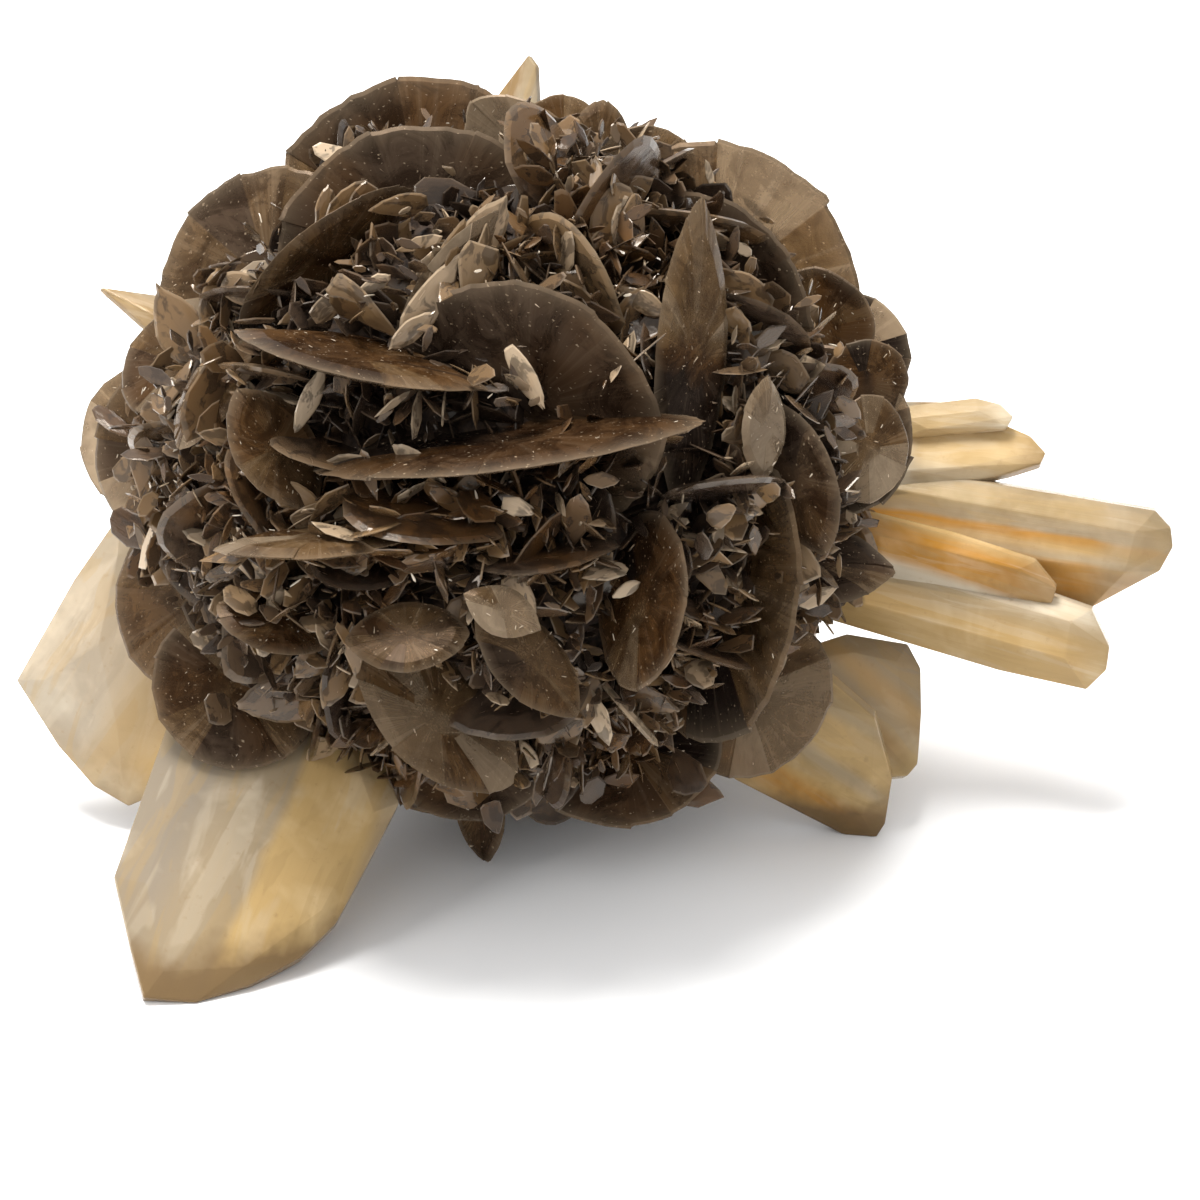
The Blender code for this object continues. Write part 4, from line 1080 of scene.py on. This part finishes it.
def honey_finish(name, crystal):
    """A honey crystal: bands from side to side, a change from root to tip, clouds and fine striations."""
    finish = Finish(name)
    flat = finish.node("ShaderNodeUVMap", uv_map="Face").outputs["UV"]
    split = finish.node("ShaderNodeSeparateXYZ", {"Vector": flat})
    position = finish.coordinates.outputs["Object"]
    drift = finish.level(finish.noise(position, 60.0, 4.0), 0.0, 1.0, -BAND_DRIFT, BAND_DRIFT)
    across = [(place, rgba(colour)) for place, colour in crystal.across]
    colour = finish.ramp(finish.maths("ADD", split.outputs["Y"], drift), across, smooth=True)
    run = finish.maths("ADD", split.outputs["X"], drift)
    shades = [(place, rgba(shade or TAN)) for place, shade in crystal.along]
    strengths = [(place, rgba([1.0 if shade else 0.0] * 3)) for place, shade in crystal.along]
    strength = finish.maths("MULTIPLY", finish.ramp(run, strengths, smooth=True), ALONG_SHARE)
    colour = finish.blend(strength, colour, finish.ramp(run, shades, smooth=True))
    milk = finish.level(finish.noise(position, 70.0, 4.0, 0.6, 0.3), 0.5, 0.7)
    colour = finish.blend(finish.maths("MULTIPLY", milk, MILK_SHARE * crystal.cloud), colour, WHITE)
    streaks = finish.noise(finish.face_map((1.5, 26.0, 1.0)), 1.0, 5.0, 0.65)
    veils = finish.noise(finish.face_map((2.5, 7.0, 1.0)), 1.0, 3.0, 0.5, 0.8)
    specks = finish.noise(position, 900.0, 3.0)
    for pattern, low, high, strength, tint in (
        (streaks, 0.52, 0.7, 0.2, scaled(HONEY, 0.7)),
        (veils, 0.54, 0.6, VEIL_SHARE * crystal.cloud, WHITE),
        (veils, 0.43, 0.4, 0.3, scaled(HONEY, 0.75)),
        (specks, 0.62, 0.8, 0.35, TAN),
        # Painted shade: each face lighter or darker by the way it points
        (finish.attribute("painted_facet_light"), 0.0, 1.0, PAINTED_FACET_SHADE, scaled(HONEY, 0.6)),
    ):
        colour = finish.blend(finish.level(pattern, low, high, 0.0, strength), colour, tint)
    # Darker over the lowest few millimetres, near the table
    height = finish.node("ShaderNodeSeparateXYZ", {"Vector": position}).outputs["Z"]
    wander = finish.level(finish.noise(position, 160.0, 3.0), 0.0, 1.0, -LOW_DARKENING_DRIFT, LOW_DARKENING_DRIFT)
    height = finish.maths("ADD", height, wander)
    colour = finish.blend(finish.level(height, *LOW_DARKENING_HEIGHT, LOW_DARKENING, 0.0), colour, scaled(TAN, 0.7))
    finish.set(Base_Color=colour, IOR=IOR, Specular_IOR_Level=0.15, Specular_Tint=HONEY_SHINE)
    clear = HONEY_CLEAR[0] - HONEY_CLEAR[1] * crystal.cloud
    finish.set(Transmission_Weight=finish.level(milk, 0.0, 1.0, clear, clear * 0.5))
    finish.set(Roughness=finish.level(specks, 0.3, 0.7, 0.12, 0.26))
    finish.bump(streaks, 0.1, 0.0004)
    finish.absorb(HONEY_LIGHT, HONEY_DENSITY)
    return finish.material


def on_plane(across, up, point, normal):
    """Where the line of sight at this place across and up meets a plane."""
    eye = in_frame(EYE_ACROSS, EYE_UP, EYE_DISTANCE)
    sight = in_frame(across, up, 0.0) - eye
    return eye + sight * ((point - eye).dot(normal) / sight.dot(normal))


def crystal_plane(crystal):
    """A point of a honey crystal's middle plane, and the plane's direction toward the viewer."""
    point, second, third = (seen(*corner) for corner in crystal.plane)
    normal = (second - point).cross(third - point).normalized()
    return point, normal if normal.dot(TOWARD) > 0 else -normal


def crystal_corners(crystal):
    """The corners of a honey crystal, in metres."""
    point, normal = crystal_plane(crystal)
    corners = []
    for across, up in crystal.rim:
        on_rim = on_plane(across, up, point, normal)
        corners.extend((on_rim + normal * crystal.rim_half * MM, on_rim - normal * crystal.rim_half * MM))
    for across, up, height in crystal.front:
        near = on_plane(across, up, point + normal * height * MM, normal)
        corners.extend((near, near - normal * 2 * height * MM))
    return corners


def weathered(form, crystal, look):
    """Wears a crystal's edges, splits its faces finely and raises growth steps along its length."""
    bmesh.ops.dissolve_limit(form, angle_limit=math.radians(1.5), verts=form.verts, edges=form.edges)
    bmesh.ops.bevel(form, geom=form.edges[:], offset=look.edge, segments=2, profile=0.6, affect="EDGES")
    bmesh.ops.triangulate(form, faces=form.faces[:])
    for _ in range(GRAIN_PASSES):
        long_edges = [edge for edge in form.edges if edge.calc_length() > look.grain * SMOOTHER]
        if not long_edges:
            break
        bmesh.ops.subdivide_edges(form, edges=long_edges, cuts=1)
        bmesh.ops.triangulate(form, faces=[face for face in form.faces if len(face.verts) > 3])
    form.normal_update()
    point, normal = crystal_plane(crystal)
    length = sight_axes(crystal.turn, 0, 0)[0]
    length = (length - normal * length.dot(normal)).normalized()
    side = normal.cross(length)
    for vert in form.verts:
        offset = (vert.co - point) * 1000.0
        ways = zip((length, side, normal), STEP_STRETCH)
        stretched = Vector([offset.dot(way) * share for way, share in ways])
        vert.co += vert.normal * look.relief * (noise.noise(stretched) - STEP_LEVEL)


def honey_form(crystal, look):
    """A honey crystal: the hull of its corners, worn, and cut off flat at the table."""
    form = bmesh.new()
    for corner in crystal_corners(crystal):
        form.verts.new(corner)
    hull = bmesh.ops.convex_hull(form, input=form.verts)
    spare = hull["geom_interior"] + hull["geom_unused"]
    inside = list({item for item in spare if isinstance(item, bmesh.types.BMVert)})
    bmesh.ops.delete(form, geom=inside, context="VERTS")
    bmesh.ops.recalc_face_normals(form, faces=form.faces)
    weathered(form, crystal, look)
    everything = form.verts[:] + form.edges[:] + form.faces[:]
    cut = bmesh.ops.bisect_plane(
        form, geom=everything, plane_co=(0, 0, 0), plane_no=(0, 0, -1), clear_outer=True)
    edges = [item for item in cut["geom_cut"] if isinstance(item, bmesh.types.BMEdge)]
    if edges:
        bmesh.ops.holes_fill(form, edges=edges, sides=0)
        bmesh.ops.triangulate(form, faces=[face for face in form.faces if len(face.verts) > 4])
    return form


def honey_object(name, members, look):
    """One object of the honey crystals that grew together, each with its own finish."""
    point_lists, face_lists, flats, slots, painted_facet_lights = [], [], [], [], []
    used = 0
    made = bpy.data.meshes.new(name)
    for slot, crystal in enumerate(members):
        form = honey_form(crystal, look)
        form.verts.ensure_lookup_table()
        form.verts.index_update()
        points = np.array([vert.co[:] for vert in form.verts])
        flat = np.stack([points @ np.array(way) for way in sight_axes(crystal.turn, 0, 0)[:2]], axis=-1)
        flat = (flat - flat.min(0)) / (flat.max(0) - flat.min(0))
        faces = [[used + vert.index for vert in face.verts] for face in form.faces]
        point_lists.append(points)
        flats.append(flat)
        face_lists.extend(faces)
        slots.extend([slot] * len(faces))
        # Painted shade: a tone for each face, from the way it points
        painted_facet_lights.extend(0.5 + 0.5 * math.sin(face.normal.dot(PAINTED_FACET_WAVE) + slot) for face in form.faces)
        used += len(points)
        form.free()
        made.materials.append(honey_finish(f"{name}_finish_{slot}", crystal))
    made.from_pydata(np.concatenate(point_lists).tolist(), [], face_lists)
    flat_layer = made.uv_layers.new(name="Face")
    corner = np.empty(len(made.loops), np.int32)
    made.loops.foreach_get("vertex_index", corner)
    flat_layer.data.foreach_set("uv", np.concatenate(flats)[corner].astype(np.float32).reshape(-1))
    made.polygons.foreach_set("material_index", np.array(slots, np.int32))
    painted_facet_light = made.attributes.new("painted_facet_light", "FLOAT", "FACE")
    painted_facet_light.data.foreach_set("value", np.array(painted_facet_lights, np.float32))
    made.validate()
    made.shade_smooth()
    made.set_sharp_from_angle(angle=math.radians(SOFT_ANGLE))
    return shown(name, made)


def settled(made, nodes):
    """Hands a finished piece to the frame: it stands for these solids."""
    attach(made, "root")
    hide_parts(*nodes)


class SELENITE_OT_rose_heart(bpy.types.Operator):
    """Grows the dark mass that the rose's blades stand on"""

    bl_idname = "selenite.rose_heart"
    bl_label = "Rose heart"

    def execute(self, context):
        form = bmesh.new()
        bmesh.ops.create_icosphere(form, subdivisions=6, radius=1.0)
        for vert in form.verts:
            lumps = sum(noise.noise(vert.co * scale) * height for scale, height in HEART_LUMPS)
            vert.co *= HEART_LEVEL + lumps
        scale = Matrix.Diagonal((*(HEART_HALF * MM), 1.0))
        form.transform(Matrix.Translation(ROSE_CENTRE * MM) @ scale)
        made = shown("rose_heart", mesh_of("rose_heart", form, heart_finish(context.scene.selenite_rose)))
        settled(made, ["rose"])
        return {"FINISHED"}


class SELENITE_OT_rose_blades(bpy.types.Operator):
    """Grows the listed large blades and those that fill the ball"""

    bl_idname = "selenite.rose_blades"
    bl_label = "Large blades"

    def execute(self, context):
        look = context.scene.selenite_rose
        rng = np.random.default_rng(look.seed)
        for name, warm in (("smoky", 0.0), ("amber", AMBER_WARMTH)):
            pile = Pile()
            for blade in ROSE_BLADES:
                if (blade.name in AMBER_BLADES) == (name == "amber"):
                    large_blade(rng, blade, pile)
            made = pile.build(f"rose_{name}_blades", disc_finish(look, f"{name}_disc", warm), sharp=9.0)
            settled(made, ["rose"])
        return {"FINISHED"}


class SELENITE_OT_rose_leaves(bpy.types.Operator):
    """Grows the blades that fill the ball, and the books of leaves beside the large ones"""

    bl_idname = "selenite.rose_leaves"
    bl_label = "Leaves"

    def execute(self, context):
        look = context.scene.selenite_rose
        rng = np.random.default_rng(look.seed + 1)
        fills = list(fill_blades())
        parents = [(middle_of(blade), axes_of(blade), (blade.length * MM, blade.width * MM), blade.tone,
                    blade.bare) for blade in ROSE_BLADES]
        parents += [(centre, axes, size[:2], rng.uniform(0.15, 0.6), 0.3) for centre, axes, size, _ in fills]
        pile = Pile()
        centres, axes, sizes, tapers = (np.array(column) for column in zip(*fills))
        grown = crystals(rng, centres, axes, sizes * FILL_FLATTER, tapers, FILL_FORM)
        plant(pile, grown, leaf_tones(rng, len(fills), FILL_TONE), FILL_FORM)
        books = book_places(rng, parents, look.book_leaves)
        clear = clear_of_faces(books[0])
        centres, axes, sizes, tones = (column[clear] for column in books)
        axes = turned_axes(rng, axes, *BOOK_TURN)
        grown = crystals(rng, centres, axes, sizes, rng.uniform(*BOOK_TAPER, len(centres)), MIDDLE_FORM)
        plant(pile, grown, tones, MIDDLE_FORM)
        spread = scattered(rng, look.leaf_count, MIDDLE_LEVEL, *MIDDLE_SPREAD)
        grown = crystals(rng, *spread, rng.uniform(*MIDDLE_TAPER, len(spread[0])), MIDDLE_FORM)
        plant(pile, grown, leaf_tones(rng, len(spread[0]), MIDDLE_TONE), MIDDLE_FORM)
        laid = [(seen(leaf.across, leaf.up, depth_of(leaf.across, leaf.up, LAID_LEVEL)),
                 sight_axes(leaf.turn, 0, leaf.facing),
                 (leaf.length, leaf.width * LAID_SLIMMER, LAID_THICKNESS), leaf.taper, leaf.tone)
                for leaf in LAID_LEAVES]
        centres, axes, sizes, tapers, tones = (np.array(column) for column in zip(*laid))
        grown = crystals(rng, centres, axes, sizes * MM, tapers, LAID_FORM)
        plant(pile, grown, tones - LAID_DARKER, LAID_FORM)
        made = pile.build("rose_leaves", leaf_finish(look, "smoky_leaf"))
        settled(made, ["rose"])
        return {"FINISHED"}


class SELENITE_OT_rose_small_leaves(bpy.types.Operator):
    """Packs the pockets between the blades with small lens-shaped leaves"""

    bl_idname = "selenite.rose_small_leaves"
    bl_label = "Small leaves"

    def execute(self, context):
        look = context.scene.selenite_rose
        rng = np.random.default_rng(look.seed + 2)
        for name, level in SMALL_LAYERS.items():
            pile = Pile()
            spread = scattered(rng, look.small_count // len(SMALL_LAYERS), level, *SMALL_SPREAD)
            grown = crystals(rng, *spread, rng.uniform(*SMALL_TAPER, len(spread[0])), SMALL_FORM)
            plant(pile, grown, leaf_tones(rng, len(spread[0]), SMALL_TONE), SMALL_FORM)
            made = pile.build(name, leaf_finish(look, name + "_finish"))
            settled(made, ["rose"])
        return {"FINISHED"}


class SELENITE_OT_rose_specks(bpy.types.Operator):
    """Scatters bright specks between the leaves: partly crumbs, partly painted glints that catch the light"""

    bl_idname = "selenite.rose_specks"
    bl_label = "Bright specks"

    def execute(self, context):
        look = context.scene.selenite_rose
        rng = np.random.default_rng(look.seed + 3)
        spread = scattered(rng, look.speck_count, SPECK_LEVEL, *SPECK_SPREAD)
        on_faces, lying = crumb_places(rng, look.crumbs)
        shortest, spread_of = CRUMB_LENGTH
        length = (shortest + spread_of * rng.uniform(0, 1, len(on_faces)) ** CRUMB_BIAS) * MM
        width = length * rng.uniform(*CRUMB_SLIM, len(length))
        crumbs = np.stack([length, width, length * CRUMB_THIN], axis=-1)
        spread = [np.concatenate(pair) for pair in zip(spread, (on_faces, lying, crumbs))]
        count = len(spread[0])
        points, flat, spoke = crystals(rng, *spread, np.full(count, SPECK_TAPER), SPECK_FORM)
        pile = Pile()
        corners, profile = SPECK_FORM.corners, SPECK_FORM.profile
        tones = rng.uniform(0, 1, count) ** SPECK_TONE_BIAS
        pile.add(above_table(points), flat, spoke, tones, rim_of(profile, corners),
                 ring_faces(corners, len(profile)))
        made = pile.build("rose_crumbs_and_painted_glints", speck_finish(look))
        settled(made, ["rose"])
        return {"FINISHED"}


class SELENITE_OT_honey_crystals(bpy.types.Operator):
    """Grows the honey-coloured crystals"""

    bl_idname = "selenite.honey_crystals"
    bl_label = "Honey crystals"

    def execute(self, context):
        look = context.scene.selenite_honey
        for node, members in HONEY_GROUPS.items():
            made = honey_object(node.replace("honey", "grown_honey"), members, look)
            settled(made, [node])
        return {"FINISHED"}


def table_finish(look):
    """Plain white, with a trace of grain."""
    finish = Finish("white_table")
    grain = finish.noise(finish.coordinates.outputs["Object"], 40.0, 4.0)
    finish.set(Base_Color=finish.blend(grain, look.table, scaled(look.table, 0.985)), Roughness=0.55)
    return finish.material


def soft_light(name, place, size, power, colour):
    """A round, soft lamp that shines at the rose."""
    lamp = bpy.data.lights.new(name, "AREA")
    lamp.shape = "DISK"
    lamp.size = size
    lamp.energy = power
    lamp.color = colour
    made = shown(name, lamp)
    made.location = place
    made.rotation_euler = (ROSE_CENTRE * MM - Vector(place)).to_track_quat("-Z", "Y").to_euler()


class SELENITE_OT_stage(bpy.types.Operator):
    """Sets the white table, the soft light and the camera"""

    bl_idname = "selenite.stage"
    bl_label = "Stage"

    def execute(self, context):
        scene = context.scene
        look = scene.selenite_stage
        form = bmesh.new()
        bmesh.ops.create_grid(form, x_segments=2, y_segments=2, size=3.0)
        table = shown("table", mesh_of("table", form, table_finish(look)))
        table.location.z = -TABLE_DROP
        scene.world = bpy.data.worlds.new("white_surroundings")
        scene.world.use_nodes = True
        sky = scene.world.node_tree
        background = sky.nodes["Background"]
        background.inputs["Strength"].default_value = look.sky
        way = sky.nodes.new("ShaderNodeTexCoord")
        split = sky.nodes.new("ShaderNodeSeparateXYZ")
        fade = sky.nodes.new("ShaderNodeValToRGB")
        for element, (height, colour) in zip(fade.color_ramp.elements, SKY_FADE):
            element.position, element.color = height, colour
        sky.links.new(way.outputs["Generated"], split.inputs["Vector"])
        sky.links.new(split.outputs["Z"], fade.inputs["Fac"])
        sky.links.new(fade.outputs["Color"], background.inputs["Color"])
        for name, place, size, share, colour in LAMPS:
            soft_light(name, place, size, look.key * share, colour)
        lens = bpy.data.cameras.new("camera")
        lens.lens = LENS_LENGTH
        lens.sensor_width = SENSOR
        camera = shown("camera", lens)
        aim = in_frame(EYE_ACROSS, EYE_UP, 0.0)
        camera.location = in_frame(EYE_ACROSS, EYE_UP, EYE_DISTANCE)
        camera.rotation_euler = (aim - camera.location).to_track_quat("-Z", "Y").to_euler()
        scene.camera = camera
        scene.view_settings.view_transform = "Standard"
        return {"FINISHED"}


class SELENITE_PT_panel(bpy.types.Panel):
    """Sizes, colours and the steps of the specimen"""

    bl_idname = "SELENITE_PT_panel"
    bl_label = "Selenite Specimen"
    bl_space_type = "VIEW_3D"
    bl_region_type = "UI"
    bl_category = "Selenite"

    def draw(self, context):
        for group in ("selenite_rose", "selenite_honey", "selenite_stage"):
            settings = getattr(context.scene, group)
            box = self.layout.box()
            for name in settings.bl_rna.properties.keys():
                if name not in ("rna_type", "name"):
                    box.prop(settings, name)
        for operator in OPERATORS:
            self.layout.operator(operator.bl_idname)


OPERATORS = (
    SELENITE_OT_stage,
    SELENITE_OT_rose_heart,
    SELENITE_OT_rose_blades,
    SELENITE_OT_rose_leaves,
    SELENITE_OT_rose_small_leaves,
    SELENITE_OT_rose_specks,
    SELENITE_OT_honey_crystals,
)
SETTINGS = {
    "selenite_rose": SmokyRoseSettings,
    "selenite_honey": HoneySettings,
    "selenite_stage": StageSettings,
}


def register():
    for item in (*SETTINGS.values(), *OPERATORS, SELENITE_PT_panel):
        bpy.utils.register_class(item)
    for name, group in SETTINGS.items():
        setattr(bpy.types.Scene, name, PointerProperty(type=group))


def unregister():
    for name in SETTINGS:
        delattr(bpy.types.Scene, name)
    for item in (SELENITE_PT_panel, *reversed(OPERATORS), *SETTINGS.values()):
        bpy.utils.unregister_class(item)


def main():
    register()
    for operator in OPERATORS:
        group, name = operator.bl_idname.split(".")
        getattr(getattr(bpy.ops, group), name)()


if __name__ == "__main__":
    main()
